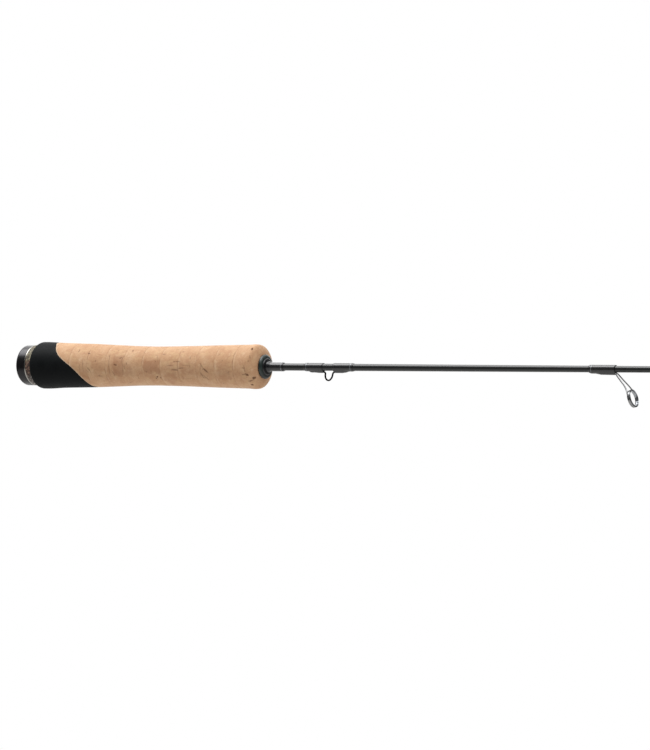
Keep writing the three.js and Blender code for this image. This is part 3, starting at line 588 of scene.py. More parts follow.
# ------------------------------------------------------------------ butt cap, trim ring, composite ring
co, quads, tris = revolve_open(rounded([
    (-1.5, 0), (-1.5, 8.6, 0.0), (-1.38, 9.6, 0.8), (-0.95, 11.0, 0.9), (0.0, 11.72, 1.6), (5.35, 11.75, 0.12), (5.35, 4.6), (9.5, 4.6, 0.15), (9.5, 2.42), (5.0, 2.42), (5.0, 0)], step=0.5), 160)
place(make_mesh("gunmetal_butt_cap", co, quads, tris, 50), GUNMETAL, "gunmetal_cap", "butt_cap")
crown = [(5.4, 4.72), (5.4, 11.66, 0.06)] + [(5.4 + 0.8 * t, 11.74 + 0.1 * math.sin(math.pi * t)) for t in np.linspace(0.08, 0.92, 11)] + [(6.2, 11.66, 0.06), (6.2, 4.72)]
co, quads = revolve(rounded(crown, True, 0.4), 192)
place(make_mesh("chrome_trim_ring", co, quads, None, 50), CHROME, "chrome_trim", "cap_trim_ring")


def burl_push(X, A, R):
    p = np.stack([X, R * np.sin(A), R * np.cos(A)], axis=1)
    rough = (fbm(p / 0.9, 5, 3) - 0.5) * 0.14 - 0.16 * np.clip(noise3(p / 1.3, 9) - 0.72, 0, 1)
    return np.where(R > 11.0, rough - 0.03, 0)


co, quads = revolve(rounded([(6.25, 4.72), (6.25, 11.74, 0.2), (9.85, 11.74, 0.2), (9.85, 4.72)], True, 0.22), 300, burl_push)
place(make_mesh("composite_cork_ring", co, quads, None, 50), COMPOSITE, "composite_cork", "butt_composite_ring")


# ------------------------------------------------------------------ diagonal joint: the space behind it, as a block
def joint_block(shift):
    pts = [(x + shift, z) for x, z in _joint]
    pts = [(-4, 17.5), (pts[0][0] - 0.6, 17.5)] + pts + [(pts[-1][0] + 0.6, -17.5), (-4, -17.5)]
    n = len(pts)
    co = [(x, -17.5, z) for x, z in pts] + [(x, 17.5, z) for x, z in pts]
    me = bpy.data.meshes.new("joint_block")
    faces = [list(range(n)), list(range(2 * n - 1, n - 1, -1))] + [[i, i + n, (i + 1) % n + n, (i + 1) % n] for i in range(n)]
    me.from_pydata([((a + DATUM) * MM, b * MM, c * MM) for a, b, c in co], [], faces)
    import bmesh
    bm = bmesh.new()
    bm.from_mesh(me)
    bmesh.ops.recalc_face_normals(bm, faces=bm.faces)
    bm.to_mesh(me)
    bm.free()
    ob = bpy.data.objects.new("joint_block", me)
    bpy.context.scene.collection.objects.link(ob)
    return ob


def joint_rounding(X, A, R, depth, width):
    """How far the outer surface drops next to the diagonal joint."""
    d = joint_distance(X, R * np.cos(A))
    return depth * np.exp(-(d / width) ** 2)


# ------------------------------------------------------------------ grip sleeve
def sleeve_push(X, A, R):
    p = np.stack([X, R * np.sin(A), R * np.cos(A)], axis=1)
    out = R > 11.0
    skin = (fbm(p / 0.7, 21, 2) - 0.5) * 0.03 + (noise3(p / 9.0, 3) - 0.5) * 0.05
    return np.where(out, skin - joint_rounding(X, A, R, 0.16, 0.35), 0)


shoulder = curve_points(SLEEVE_SHOULDER, 22)
body = [(x, float(grip_r(x))) for x in np.arange(12.3, 56.0, 0.33)]
profile = [(9.92, 2.42)] + [(9.92, r) for r in np.linspace(3.4, 10.6, 8)] + [tuple(p) for p in shoulder] + body + [(56.2, float(grip_r(56.0)))] + [(56.2, r) for r in np.linspace(10.6, 2.42, 6)]
co, quads = revolve(profile, 256, sleeve_push)
sleeve = make_mesh("black_grip_sleeve", co, quads)
boolean(sleeve, joint_block(-0.02), "INTERSECT")
place(smooth(sleeve, 40), SLEEVE, "grip_rubber", "grip_sleeve")

# ------------------------------------------------------------------ cork rings
# marks on the handle: (ring, x, angle in degrees from the top towards -Y, half length round, half length along, depth)
MARKS = [
    (12, 163.0, 35.5, 1.25, 0.5, 0.5), (7, 99.6, 122, 0.75, 0.4, 0.42), (7, 98.6, 127, 0.4, 0.3, 0.3), (5, 66.5, 62, 0.5, 0.18, 0.2), (4, 57.6, 78, 0.7, 0.16, 0.2),
    (4, 52.6, 98, 0.6, 0.16, 0.16), (6, 81.0, 40, 0.45, 0.5, 0.16), (11, 146.0, 74, 0.4, 0.18, 0.16),
]


# strokes in the cork, dark lenticels and cracks: (x, angle from the top towards -Y) at both ends, half width, strength
STROKES = [
    (46.3, 87.4, 46.7, 100.6, 0.24, 0.3), (48.6, 77.1, 49.2, 105.7, 0.22, 0.24), (51.1, 55.1, 52.5, 56.1, 0.3, 0.6), (52.6, 95.4, 54.1, 105.7, 0.24, 0.42), (58.2, 118.3, 61.7, 118.4, 0.22, 0.3),
    (66.9, 60.7, 67.4, 121.0, 0.2, 0.34), (69.4, 105.8, 70.5, 117.0, 0.24, 0.36), (70.6, 86.2, 72.7, 87.8, 0.3, 0.62), (74.2, 67.5, 75.0, 65.6, 0.28, 0.6), (75.0, 40.8, 77.3, 42.0, 0.24, 0.36),
    (75.5, 153.6, 80.5, 141.1, 0.22, 0.3), (75.6, 73.1, 76.8, 91.3, 0.2, 0.3), (76.5, 61.5, 75.6, 73.1, 0.24, 0.4), (76.8, 91.3, 76.1, 117.2, 0.18, 0.22), (99.9, 57.7, 101.2, 77.6, 0.2, 0.24),
    (102.9, 52.1, 105.3, 55.0, 0.24, 0.36), (107.7, 87.7, 111.8, 87.6, 0.22, 0.34), (110.6, 35.0, 112.9, 31.1, 0.24, 0.3), (111.1, 99.1, 115.2, 100.7, 0.36, 0.5), (111.8, 76.4, 116.7, 76.4, 0.28, 0.4),
    (115.3, 96.4, 119.1, 94.2, 0.26, 0.42), (117.7, 118.6, 117.8, 128.8, 0.22, 0.3), (118.6, 86.4, 123.5, 87.4, 0.2, 0.28), (119.8, 125.3, 124.0, 127.2, 0.2, 0.26), (123.2, 62.7, 123.6, 70.3, 0.24, 0.42),
    (123.5, 93.3, 123.7, 84.6, 0.22, 0.34), (130.8, 80.9, 133.0, 94.6, 0.3, 0.42), (131.0, 106.9, 132.3, 121.9, 0.34, 0.52), (131.3, 86.2, 130.3, 118.3, 0.24, 0.25), (132.7, 115.9, 135.3, 127.8, 0.28, 0.45),
    (133.0, 94.6, 136.2, 106.6, 0.36, 0.62), (142.3, 60.6, 143.4, 49.1, 0.2, 0.25), (148.7, 101.8, 150.4, 110.0, 0.2, 0.25), (161.1, 85.7, 161.8, 101.9, 0.26, 0.42), (161.5, 108.6, 163.2, 112.1, 0.42, 0.85), (159.4, 110.4, 161.2, 109.2, 0.24, 0.5),
    (162.8, 142.9, 163.4, 146.6, 0.42, 0.85), (162.3, 129.0, 165.0, 131.4, 0.26, 0.55), (160.2, 92.0, 161.0, 95.0, 0.24, 0.4), (163.2, 130.4, 163.4, 132.7, 0.26, 0.3), (163.5, 73.7, 163.7, 75.6, 0.3, 0.3), (165.0, 123.6, 165.3, 130.6, 0.4, 0.8), (163.6, 58.0, 164.2, 66.0, 0.2, 0.36),
]


def cork_pits(ring, x0, x1):
    rng = np.random.RandomState(400 + ring)
    pits = []
    for _ in range(7 + rng.randint(6)):  # lenticels, long round the handle
        pits.append((rng.uniform(x0 + 0.5, x1 - 0.5), rng.uniform(0, 2 * math.pi), 0.3 + 1.6 * rng.rand() ** 2.2, 0.1 + 0.2 * rng.rand() ** 2, 0.06 + 0.26 * rng.rand() ** 2, 0.25 + 0.6 * rng.rand() ** 2))
    for _ in range(30):  # specks
        pits.append((rng.uniform(x0 + 0.2, x1 - 0.2), rng.uniform(0, 2 * math.pi), 0.1 + 0.18 * rng.rand(), 0.09 + 0.1 * rng.rand(), 0.04 + 0.1 * rng.rand(), 0.15 + 0.4 * rng.rand() ** 2))
    for r, x, a, ln, wd, dp in MARKS:
        if r == ring:
            pits.append((x, (-math.radians(a)) % (2 * math.pi), ln, wd, dp, min(1.0, 0.35 + 1.6 * dp)))
    return pits


# darker areas of the cork: (ring, x0, x1, angles in degrees from the top towards -Y, strength)
SHADES = [
    (5, 69.8, 77.0, 60, 116, 0.8), (7, 90.6, 101.6, 74, 112, 1.0), (6, 77.0, 82.5, 84, 120, 0.55), (3, 46.0, 51.6, 96, 150, 0.5), (8, 104.0, 113.0, 112, 150, 0.6),
    (11, 143.0, 151.5, 92, 128, 0.5), (9, 117.0, 127.0, 84, 112, 0.45), (4, 55.0, 62.0, 200, 262, 0.7), (10, 129.0, 139.0, 230, 300, 0.7), (2, 30.0, 38.0, 300, 350, 0.6), (12, 154.0, 161.0, 190, 240, 0.6),
]


def cork_shade(X, A, ring):
    p = np.stack([X, 12 * np.sin(A), 12 * np.cos(A)], axis=1)
    w = (fbm(p / 3.0, 70, 3) - 0.5) * 5.0
    out = np.zeros(len(X))
    turn = (-np.degrees(A)) % 360
    for r, x0, x1, a0, a1, k in SHADES:
        if r != ring:
            continue
        centre, half = (a0 + a1) / 2, (a1 - a0) / 2
        da = np.abs((turn - centre + 180) % 360 - 180) * 0.21 - half * 0.21
        dx = np.maximum(x0 - X, X - x1)
        d = np.maximum(da, dx) + w
        out = np.maximum(out, k * np.clip(0.5 - d / 1.1, 0, 1))
    return out


def cork_surface(X, A, R, ring, x0, x1):
    """(radial offset, pit, seam, joint-edge painted highlight and pale line masks) on the outside of a cork ring."""
    p = np.stack([X, R * np.sin(A), R * np.cos(A)], axis=1)
    w1 = (fbm(p / 0.5, 40 + ring, 2) - 0.5) * 0.7
    w2 = (fbm(p / 0.6, 80 + ring, 2) - 0.5) * 1.1
    mask = np.zeros(len(X))
    drop = np.zeros(len(X))
    for x, a, ln, wd, dp, dark in cork_pits(ring, x0, x1):
        near = np.abs(X - x) < wd * 2 + 0.5
        da = (A[near] - a + math.pi) % (2 * math.pi) - math.pi
        q = ((X[near] - x + w1[near]) / wd) ** 2 + ((da * 12.0 + w2[near]) / ln) ** 2
        k = np.clip(1.25 - q, 0, 1)
        k = k * k * (3 - 2 * k)
        mask[near] = np.maximum(mask[near], k * dark)
        drop[near] = np.maximum(drop[near], k * dp)
    turn = ((-A) % (2 * math.pi)) * 12.0
    broken = np.clip(0.25 + 1.9 * fbm(p / 0.7, 55, 2) - 0.3, 0.2, 1.0)
    for xa, aa, xb, ab, wd, dark in STROKES:
        near = (X > min(xa, xb) - 1.2) & (X < max(xa, xb) + 1.2)
        if not near.any():
            continue
        u0, u1 = math.radians(aa) * 12.0, math.radians(ab) * 12.0
        ex, eu = xb - xa, u1 - u0
        qx, qu = X[near] - xa + 0.4 * w1[near], turn[near] - u0 + 0.3 * w2[near]
        t = np.clip((qx * ex + qu * eu) / (ex * ex + eu * eu + 1e-9), 0, 1)
        taper = 1.55 * wd * (0.55 + 0.45 * np.sin(math.pi * np.clip(t, 0.04, 0.96)))
        q = ((qx - t * ex) ** 2 + (qu - t * eu) ** 2) / taper**2
        k = np.clip(1.25 - q, 0, 1)
        k = k * k * (3 - 2 * k)
        mask[near] = np.maximum(mask[near], (0.68 + 0.45 * dark) * k * dark * broken[near] ** 0.7)
        drop[near] = np.maximum(drop[near], k * dark * 0.16)
    grain = (fbm(p / np.array([0.8, 2.0, 2.0]), 11 + ring, 3) - 0.5) * 0.07
    wave = (noise3(p / 8.0, 7) - 0.5) * 0.08 + (_hash(np.int64(ring), np.int64(3), np.int64(5), 2) - 0.5) * 0.05
    ends = np.minimum(X - x0, x1 - X)
    patchy = np.clip(0.12 + 2.6 * (noise3(p / 2.4, 31) - 0.42), 0.12, 1.0)
    seam = np.exp(-(np.maximum(ends, 0) / 0.26) ** 2) * patchy
    halo = np.exp(-((np.maximum(ends, 0) - 0.85) / 0.32) ** 2) * patchy * (X - x0 < x1 - X)
    d = joint_distance(X, R * np.cos(A))
    # painted highlight mask: lighter cork along the diagonal joint, for light catching the rounded edge there
    edge = np.exp(-(np.clip(d - 0.12, 0, 9) / 0.42) ** 2)
    groove = 0.2 * np.exp(-(np.clip(d, 0, 9) / 0.28) ** 2)
    return grain + wave - 0.03 * seam - drop - groove, mask, seam, edge, halo


TONE = [0.55, 0.45, 0.62, 0.5, 0.38, 0.6, 0.33, 0.52, 0.47, 0.66, 0.4, 0.56]
for ring in range(1, 13):
    node = f"cork_ring_{ring:02d}"
    x1 = 26.2 + (ring - 1) * 12.7 - 0.01
    x0 = x1 - 12.68
    if ring == 12:
        x1 = 166.7
    if ring < 12:
        run = [(x, float(grip_r(x))) for x in np.linspace(x0 + 0.1, x1 - 0.1, 52)]
        outer = [(x0, run[0][1] - 0.09), (x0 + 0.03, run[0][1] - 0.03)] + run + [(x1 - 0.03, run[-1][1] - 0.03), (x1, run[-1][1] - 0.09)]
    else:
        run = [(x, float(grip_r(x))) for x in np.linspace(x0 + 0.1, 162.0, 22)]
        dome = curve_points([(162.2, 12.45), (163.3, 12.24), (164.4, 11.35), (165.4, 9.9), (166.1, 8.3), (166.55, 6.6), (166.68, 5.6)], 40)
        outer = [(x0, run[0][1] - 0.09), (x0 + 0.03, run[0][1] - 0.03)] + run + [tuple(q) for q in dome]
    bore0, bore1 = float(blank_r(x0)) + 0.1, float(blank_r(x1)) + 0.1
    last = outer[-1][1]
    profile = [(x0, bore0), (x0, 5.0), (x0, 8.0), (x0, outer[0][1] - 0.8)] + outer + [(x1, r) for r in (last - 0.8, 5.0 + 0.4 * (last - 5) if last > 7 else 4.4, 3.2) if r < last] + [(x1, bore1)]
    first_out, last_out = 4, 4 + len(outer)

    def push(X, A, R, ring=ring, x0=x0, x1=x1, first=first_out, last=last_out, count=len(profile)):
        n = len(X) // count
        row = np.arange(len(X)) // n
        off = cork_surface(X, A, R, ring, x0, x1 if ring < 12 else 400.0)[0]
        return np.where((row >= first) & (row < last), off, 0)

    co, quads = revolve(profile, 288, push)
    ob = make_mesh(f"cork_disc_{ring:02d}", co, quads)
    if ring <= 3:
        boolean(ob, joint_block(0.02), "DIFFERENCE")
    smooth(ob, 50)
    c = points_of(ob)
    R = np.hypot(c[:, 1], c[:, 2])
    A = np.arctan2(c[:, 1], c[:, 2]) % (2 * math.pi)
    _, pit, seam, edge, halo = cork_surface(c[:, 0], A, R, ring, x0, x1 if ring < 12 else 400.0)
    outside = R > grip_r(c[:, 0]) - 0.9
    attribute(ob, "pit", np.where(outside, pit, 0))
    attribute(ob, "seam", np.where(outside, seam, 0))
    attribute(ob, "halo", np.where(outside, halo, 0))
    # the edge attribute carries the painted highlight along the diagonal joint
    attribute(ob, "edge", np.where(outside & (c[:, 0] < 58), edge, 0))
    attribute(ob, "tone", np.full(len(c), TONE[ring - 1] + ring))
    attribute(ob, "stain", cork_shade(c[:, 0], A, ring))
    place(ob, CORK, "cork", node)

# ------------------------------------------------------------------ winding check
co, quads = revolve(rounded([
    (166.76, 2.12), (166.76, 6.45), (166.9, 6.78, 0.1)]
    + [(167.0 + 1.47 * math.sin(t), 4.9 + 1.92 * math.cos(t), 0.4) for t in np.radians([8, 20, 32, 44, 56, 68, 80])]
    + [(168.5, 4.8, 0.12), (168.98, 4.3, 0.22), (169.12, 3.4, 0.3), (169.16, 2.6), (169.16, 2.12)], True, 0.14), 200)
place(make_mesh("black_winding_check", co, quads, None, 50), CHECK, "black_anodised", "winding_check")


# ------------------------------------------------------------------ thread wraps
def wound(name, stations, n=72, groove=None, pitch=0.2, ridge=0.002):
    """A wrap from stations of (x, radius, bump depth, bump radius), smoothed along x, with thread ridges, on the blank's bore."""
    st = np.array(stations, float)
    x = np.arange(st[0, 0], st[-1, 0], pitch / 4)
    x = np.append(x, st[-1, 0])
    r = np.interp(x, st[:, 0], st[:, 1])
    d = np.interp(x, st[:, 0], st[:, 2])
    b = np.interp(x, st[:, 0], st[:, 3])
    k = np.hanning(15)
    k /= k.sum()
    pad = lambda v: np.convolve(np.concatenate([np.full(7, v[0]), v, np.full(7, v[-1])]), k, "valid")
    r, d, b = pad(r), pad(d), pad(b)
    drop = np.zeros(len(x))
    if groove:
        inside = (x > groove[0] - 0.02) & (x < groove[1] + 0.02)
        drop[inside] = 0.13
    lift = ridge * np.cos(2 * math.pi * x / pitch)
    a = np.arange(n) * 2 * math.pi / n
    uy, uz = np.sin(a), np.cos(a)
    co = []
    for i in range(len(x)):
        rr, bb = r[i] + lift[i] - drop[i], b[i] + lift[i]
        below = (-d[i] * uz + bb > rr) & (d[i] > 0.05)
        y = np.where(below, bb * uy, rr * uy)
        z = np.where(below, -d[i] + bb * uz, rr * uz)
        co.append(np.stack([np.full(n, x[i]), y, z], axis=1))
    for xb in (x[-1], x[0]):
        rb = float(blank_r(xb)) + 0.02
        co.append(np.stack([np.full(n, xb), rb * uy, rb * uz], axis=1))
    m = len(co)
    co = np.concatenate(co)
    i, j = np.meshgrid(np.arange(m), np.arange(n), indexing="ij")
    i, j = i.ravel(), j.ravel()
    i2, j2 = (i + 1) % m, (j + 1) % n
    return make_mesh(name, co, np.stack([i * n + j, i2 * n + j, i2 * n + j2, i * n + j2], axis=1), None, 50)


def band(name, node, x0, x1, radius):
    """Metallic trim thread in the groove of a wrap."""
    x = np.linspace(x0 + 0.02, x1 - 0.02, max(12, int((x1 - x0) / 0.03)))
    turns = max(3, round((x1 - x0) / 0.16))
    outer = [(q, radius + 0.035 + 0.006 * math.cos(2 * math.pi * turns * (q - x0) / (x1 - x0))) for q in x]
    profile = [(x[0], radius - 0.12)] + outer + [(x[-1], radius - 0.12)]
    co, quads = revolve(profile, 72)
    return place(make_mesh(name, co, quads, None, 50), SILVER, "silver_thread", node)


r = float(blank_r(174)) + 0.42
ob = wound("front_thread_wrap", [(169.2, r + 0.72, 0, 0), (170.0, r + 0.66, 0, 0), (170.7, r + 0.34, 0, 0), (171.3, r + 0.06, 0, 0), (171.8, r, 0, 0), (179.3, r, 0, 0), (179.7, r - 0.1, 0, 0), (180.0, r - 0.28, 0, 0)], groove=(178.65, 179.15))
place(ob, THREAD, "black_thread", "front_wrap")
band("front_trim_band", "front_wrap_trim", 178.65, 179.15, r)

# keeper wraps and the hook keeper
W = 0.45
foot_z = lambda x: float(blank_r(x)) + W + 0.06
r = float(blank_r(200)) + 0.32
F = W + 0.22
ob = wound("keeper_thread_wrap_rear", [
    (193.8, r - 0.26, 0, 0), (194.2, r - 0.08, 0, 0), (194.6, r, 0.4, 1.2), (195.4, r, 0.9, 1.25), (197.0, r, 1.6, 0.95), (199.4, r, 2.25, F), (203.0, r, foot_z(203), F),
    (205.6, r, foot_z(205), F), (205.85, r - 0.06, foot_z(205), F - 0.06), (206.0, r - 0.16, foot_z(205), F - 0.18)], groove=(195.3, 195.8))
place(ob, THREAD, "black_thread", "keeper_wrap_rear")
band("keeper_rear_trim_band", "keeper_wrap_rear_trim", 195.3, 195.8, r)
r = float(blank_r(218)) + 0.32
ob = wound("keeper_thread_wrap_front", [
    (212.8, r - 0.16, foot_z(213), F - 0.18), (213.0, r - 0.05, foot_z(213), F - 0.06), (213.3, r, foot_z(213), F), (218.5, r, foot_z(218), F), (221.4, r, 1.75, 0.85),
    (223.4, r, 0.9, 1.35), (224.8, r, 0.4, 1.4), (225.5, r - 0.08, 0, 0), (226.0, r - 0.26, 0, 0)], groove=(224.1, 224.6))
place(ob, THREAD, "black_thread", "keeper_wrap_front")
band("keeper_front_trim_band", "keeper_wrap_front_trim", 224.1, 224.6, r)
path = [(x, 0, -foot_z(x)) for x in (197.0, 200.6, 204.6)] + [
    (206.25, 0, -foot_z(206) - 0.12), (207.05, 0, -3.3), (207.0, 0, -4.4), (207.1, 0, -5.5), (207.65, 0, -6.6), (208.3, 0, -7.07), (209.05, 0, -7.25), (209.85, 0, -7.07),
    (210.5, 0, -6.6), (211.3, 0, -5.6), (211.7, 0, -4.5), (212.1, 0, -3.3), (212.9, 0, -foot_z(213) - 0.12)] + [(x, 0, -foot_z(x)) for x in (214.4, 218.2, 221.4)]
co, quads, tris = sweep(curve_points(path, 180), lambda t: (W * min(1, 0.45 + 14 * min(t, 1 - t)), W * min(1, 0.45 + 14 * min(t, 1 - t))), 20)
place(make_mesh("wire_hook_keeper", co, quads, tris, 50), WIRE, "black_wire", "hook_keeper")


# ------------------------------------------------------------------ guides
def to_ring(co, g):
    """From a ring about the X axis at the origin to its place in the guide, in mm."""
    m = Matrix.Rotation(math.radians(-g["lean"]), 3, "Y")
    return co @ np.array(m).T + np.array([g["ring"], 0, -g["drop"]])


def band_ring(g, name):
    h, ro, ri = g["width"] / 2, g["radius"], g["radius"] - g["band"]
    f = 0.14
    co, quads = revolve(rounded([(-h, ri, 0.05), (-h, ro, f), (h, ro, f), (h, ri, 0.05)], True, 0.2), 96)
    return make_mesh(name, to_ring(co, g), quads)


def insert_ring(g, name, node):
    h, ro = g["insert_width"] / 2, g["radius"] - g["band"] - 0.03
    ri = ro - g["insert"]
    pts = [(-h, ro, 0.06), (-h, ro - 0.35 * g["insert"], 0.1)] + [(h * t, ri + (0.62 * g["insert"]) * abs(t) ** 2.4) for t in np.linspace(-0.92, 0.92, 15)] + [(h, ro - 0.35 * g["insert"], 0.1), (h, ro, 0.06)]
    co, quads = revolve(rounded(pts, True, 0.16), 112)
    return place(make_mesh(name, to_ring(co, g), quads, None, 60), RING, "ring_steel", node)


LEG = [(0.0, 0.0, 0.19), (0.07, 0.06, 0.29), (0.3, 0.25, 0.4), (0.62, 0.5, 0.54), (0.78, 0.66, 0.71), (0.87, 0.77, 0.88), (0.935, 0.88, 0.99), (0.985, 0.985, 1.01)]
for i, g in enumerate(GUIDES, 1):
    x0, x1 = g["wrap"]
    w = g["wire"]
    depth = lambda x, t=1.0: float(blank_r(x)) + 0.1 + w * t
    length = x1 + 0.5 - g["foot"]
    foot = curve_points([(g["foot"] + t * length, 0, -depth(g["foot"] + t * length, 0.35 + 0.65 * min(1, 2 * t))) for t in (0, 0.3, 0.65, 1)], 24)
    co, quads, tris = sweep(foot, lambda t: (w * 1.75 * (0.35 + 0.65 * min(1, 2 * t)), w * (0.35 + 0.65 * min(1, 2 * t))), 20)
    frame_ob = make_mesh(f"guide_{i}_legs", co, quads, tris)
    reach = g["radius"] - g["band"] / 2
    sx, sz = x1 + 0.3, -depth(x1)
    for side in (1, -1):
        pts = [(sx + u * (g["ring"] - sx), side * v * reach, sz + q * (-g["drop"] - sz)) for u, q, v in LEG]
        co, quads, tris = sweep(curve_points(pts, 44), lambda t: (w * (1.0 + 0.12 * math.sin(math.pi * t)), w * 0.9), 20)
        boolean(frame_ob, make_mesh("leg", co, quads, tris), "UNION")
    boolean(frame_ob, band_ring(g, "band"), "UNION")
    place(smooth(frame_ob, 40), STEEL, "polished_steel", f"guide_{i}_frame")
    insert_ring(g, f"guide_{i}_insert", f"guide_{i}_ring")

    r = float(blank_r((x0 + x1) / 2)) + 0.3 + w * 0.45
    f0 = g["foot"]
    full = w * 2.25
    ob = wound(f"guide_{i}_thread_wrap", [
        (x0, r - 0.26, 0, 0), (x0 + 0.35, r - 0.07, 0, 0), (x0 + 0.8, r, 0.3, r - 0.2), (f0 - 0.6, r, 0.55, r - 0.35), (f0 + 1.4, r, depth(f0) * 0.66, full * 1.1), (f0 + 4.6, r, depth(f0) * 0.95, full),
        (x1 - 0.4, r, depth(x1), full), (x1 - 0.15, r - 0.04, depth(x1), full * 0.95), (x1, r - 0.12, depth(x1), full * 0.86)], groove=g["trim"])
    place(ob, THREAD, "black_thread", f"guide_{i}_wrap")
    band(f"guide_{i}_trim_band", f"guide_{i}_trim", g["trim"][0], g["trim"][1], r - 0.01)

# ------------------------------------------------------------------ tip-top
g = TIP
co, quads, tris = revolve_open(rounded([(705.7, 0), (705.7, 0.71), (697.0, 0.76), (697.0, 0.9, 0.06), (697.3, 0.98, 0.1), (706.0, 0.98, 0.25), (706.38, 0.6, 0.2), (706.4, 0.0)], step=0.4), 48)
tip = make_mesh("tip_top_tube", co, quads, tris)
reach = g["radius"] - g["band"] / 2
for side in (1, -1):
    pts = [(g["ring"] + x, side * v * reach, z) for x, z, v in [(-4.4, -0.62, 0.2), (-3.4, -0.95, 0.3), (-2.2, -1.5, 0.55), (-1.1, -2.2, 0.85), (-0.35, -2.8, 1.0), (0.02, -3.15, 1.0)]]
    co, quads, tris = sweep(curve_points(pts, 32), lambda t: (0.3, 0.28), 18)
    boolean(tip, make_mesh("strut", co, quads, tris), "UNION")
boolean(tip, band_ring(g, "band"), "UNION")
place(smooth(tip, 40), TIP_STEEL, "polished_steel", "tip_top_frame")
insert_ring(g, "tip_top_insert", "tip_top_ring")
r = float(blank_r(693)) + 0.3
ob = wound("tip_top_thread_wrap", [(690.4, r - 0.2, 0, 0), (690.7, r - 0.03, 0, 0), (691.0, r, 0, 0), (696.6, r, 0, 0), (696.9, r - 0.12, 0, 0)], n=56, groove=(691.0, 691.5))
place(ob, THREAD, "black_thread", "tip_top_wrap")
band("tip_top_trim_band", "tip_top_trim", 691.0, 691.5, r)

# ------------------------------------------------------------------ floor
FLOOR_GLOW = 0.85
FLOOR_FILL = 0.95
me = bpy.data.meshes.new("floor")
me.from_pydata([(-30, -30, -0.36), (30, -30, -0.36), (30, 30, -0.36), (-30, 30, -0.36)], [], [(0, 1, 2, 3)])
floor = bpy.data.objects.new("floor", me)
bpy.context.scene.collection.objects.link(floor)
fm = bpy.data.materials.new("pale_floor")
fm.use_nodes = True
t = fm.node_tree
t.nodes.clear()
out = t.nodes.new("ShaderNodeOutputMaterial")
path = t.nodes.new("ShaderNodeLightPath")
geo = t.nodes.new("ShaderNodeNewGeometry")
seen = t.nodes.new("ShaderNodeEmission")
seen.inputs[0].default_value = (1, 1, 1, 1)
seen.inputs[1].default_value = 1.0
glow = t.nodes.new("ShaderNodeEmission")
glow.inputs[0].default_value = (1.0, 0.985, 0.965, 1)
where = t.nodes.new("ShaderNodeVectorMath")  # brightest under the rod, falling off towards the horizon
where.operation = "LENGTH"
t.links.new(geo.outputs["Position"], where.inputs[0])
falloff = t.nodes.new("ShaderNodeMapRange")
falloff.interpolation_type = "SMOOTHSTEP"
falloff.inputs["From Min"].default_value = 0.55
falloff.inputs["From Max"].default_value = 1.7
falloff.inputs["To Min"].default_value = FLOOR_GLOW
falloff.inputs["To Max"].default_value = 0.12
t.links.new(where.outputs["Value"], falloff.inputs["Value"])
fill = t.nodes.new("ShaderNodeMapRange")  # matt surfaces get a broader fill than the reflections show
t.links.new(path.outputs["Is Diffuse Ray"], fill.inputs["Value"])
t.links.new(falloff.outputs["Result"], fill.inputs["To Min"])
fill.inputs["To Max"].default_value = FLOOR_FILL
t.links.new(fill.outputs["Result"], glow.inputs[1])
fm.cycles.emission_sampling = "NONE"
pick = t.nodes.new("ShaderNodeMixShader")
t.links.new(path.outputs["Is Camera Ray"], pick.inputs[0])
t.links.new(glow.outputs[0], pick.inputs[1])
t.links.new(seen.outputs[0], pick.inputs[2])
clear = t.nodes.new("ShaderNodeBsdfTransparent")
one_sided = t.nodes.new("ShaderNodeMixShader")
t.links.new(geo.outputs["Backfacing"], one_sided.inputs[0])
t.links.new(pick.outputs[0], one_sided.inputs[1])
t.links.new(clear.outputs[0], one_sided.inputs[2])
t.links.new(one_sided.outputs[0], out.inputs[0])
me.materials.append(fm)

# ------------------------------------------------------------------ studio light: white to the camera, a soft overhead bank to everything else
world = bpy.data.worlds.new("studio")
bpy.context.scene.world = world
world.use_nodes = True
t = world.node_tree
t.nodes.clear()
out = t.nodes.new("ShaderNodeOutputWorld")
path = t.nodes.new("ShaderNodeLightPath")
coord = t.nodes.new("ShaderNodeTexCoord")
sep = t.nodes.new("ShaderNodeSeparateXYZ")
t.links.new(coord.outputs["Generated"], sep.inputs[0])
turn = t.nodes.new("ShaderNodeMath")
turn.operation = "MULTIPLY"
turn.inputs[1].default_value = -1
t.links.new(sep.outputs[1], turn.inputs[0])
atan = t.nodes.new("ShaderNodeMath")
atan.operation = "ARCTAN2"
t.links.new(sep.outputs[2], atan.inputs[0])
t.links.new(turn.outputs[0], atan.inputs[1])
scale = t.nodes.new("ShaderNodeMapRange")
scale.inputs["From Min"].default_value = -math.pi
scale.inputs["From Max"].default_value = math.pi
t.links.new(atan.outputs[0], scale.inputs["Value"])
ramp = t.nodes.new("ShaderNodeValToRGB")
ramp.color_ramp.interpolation = "EASE"
# degrees round the rod from the camera's side (0) over the top (90) to the far side (180), and under it (negative)
STOPS = [(-180, 0.9), (-150, 0.6), (-120, 0.7), (-90, 0.55), (-60, 0.35), (-35, 0.2), (-10, 0.1), (32, 0.1), (48, 0.25), (56, 0.9), (63, 2.6), (70, 3.5), (95, 3.4), (105, 1.5), (120, 0.9), (150, 0.8), (180, 0.9)]
while len(ramp.color_ramp.elements) < len(STOPS):
    ramp.color_ramp.elements.new(1.0)
for e, (deg, v) in zip(ramp.color_ramp.elements, STOPS):
    e.position = (deg + 180) / 360
    e.color = (v / 5, v / 5, v / 5, 1)
t.links.new(scale.outputs["Result"], ramp.inputs[0])
soft = t.nodes.new("ShaderNodeBackground")
side = t.nodes.new("ShaderNodeMapRange")  # darker towards the tip end, near the horizon
side.interpolation_type = "SMOOTHSTEP"
side.inputs["From Min"].default_value = 0.05
side.inputs["From Max"].default_value = 0.35
t.links.new(sep.outputs[0], side.inputs["Value"])
high = t.nodes.new("ShaderNodeMapRange")
high.interpolation_type = "SMOOTHSTEP"
high.inputs["From Min"].default_value = 0.3
high.inputs["From Max"].default_value = 0.7
high.inputs["To Min"].default_value = 1.0
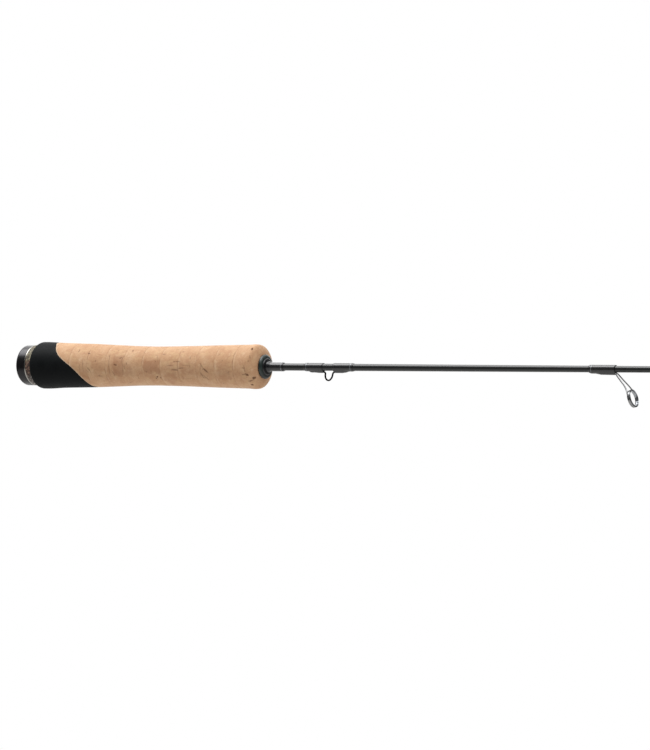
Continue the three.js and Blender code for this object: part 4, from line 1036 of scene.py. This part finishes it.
high.inputs["To Max"].default_value = 0.0
t.links.new(sep.outputs[2], high.inputs["Value"])
both = t.nodes.new("ShaderNodeMath")
both.operation = "MULTIPLY"
t.links.new(side.outputs["Result"], both.inputs[0])
t.links.new(high.outputs["Result"], both.inputs[1])
level = t.nodes.new("ShaderNodeMath")
level.operation = "MULTIPLY_ADD"
level.inputs[1].default_value = -4.2
level.inputs[2].default_value = 5.0
t.links.new(both.outputs[0], level.inputs[0])
along = t.nodes.new("ShaderNodeMapRange")  # the bank stands over the butt side, so its level also depends on the direction along the rod
along.inputs["From Min"].default_value = -1.0
along.inputs["From Max"].default_value = 1.0
t.links.new(sep.outputs[0], along.inputs["Value"])
bank = t.nodes.new("ShaderNodeValToRGB")
BANK = [(-1.0, 0.3), (-0.78, 0.4), (-0.69, 1.3), (-0.62, 2.0), (-0.4, 2.0), (-0.2, 1.3), (0.1, 1.15), (0.35, 1.25), (0.55, 0.85), (1.0, 0.5)]
while len(bank.color_ramp.elements) < len(BANK):
    bank.color_ramp.elements.new(1.0)
for e, (x, v) in zip(bank.color_ramp.elements, BANK):
    e.position = (x + 1) / 2
    e.color = (v / 2, v / 2, v / 2, 1)
t.links.new(along.outputs["Result"], bank.inputs[0])
full = t.nodes.new("ShaderNodeMath")
full.operation = "MULTIPLY"
t.links.new(level.outputs[0], full.inputs[0])
t.links.new(bank.outputs[0], full.inputs[1])
double = t.nodes.new("ShaderNodeMath")
double.operation = "MULTIPLY"
double.inputs[1].default_value = 2.0
t.links.new(full.outputs[0], double.inputs[0])
t.links.new(double.outputs[0], soft.inputs[1])
t.links.new(ramp.outputs[0], soft.inputs[0])
white = t.nodes.new("ShaderNodeBackground")
white.inputs[0].default_value = (1, 1, 1, 1)
pick = t.nodes.new("ShaderNodeMixShader")
t.links.new(path.outputs["Is Camera Ray"], pick.inputs[0])
t.links.new(soft.outputs[0], pick.inputs[1])
t.links.new(white.outputs[0], pick.inputs[2])
t.links.new(pick.outputs[0], out.inputs[0])

# ------------------------------------------------------------------ camera and view
cam = bpy.data.cameras.new("camera")
cam.lens = 150.24
cam.sensor_width = 36
cam.clip_start = 0.05
cam.clip_end = 100
cam_ob = bpy.data.objects.new("camera", cam)
bpy.context.scene.collection.objects.link(cam_ob)
cam_ob.location = (1.146 + DATUM * MM, -1.441, 0.018)
direction = Vector((0.2068 + DATUM * MM, 0, -0.0043)) - cam_ob.location
cam_ob.rotation_euler = direction.to_track_quat("-Z", "Y").to_euler()
bpy.context.scene.camera = cam_ob
bpy.context.scene.view_settings.view_transform = "Standard"
bpy.context.scene.view_settings.look = "None"
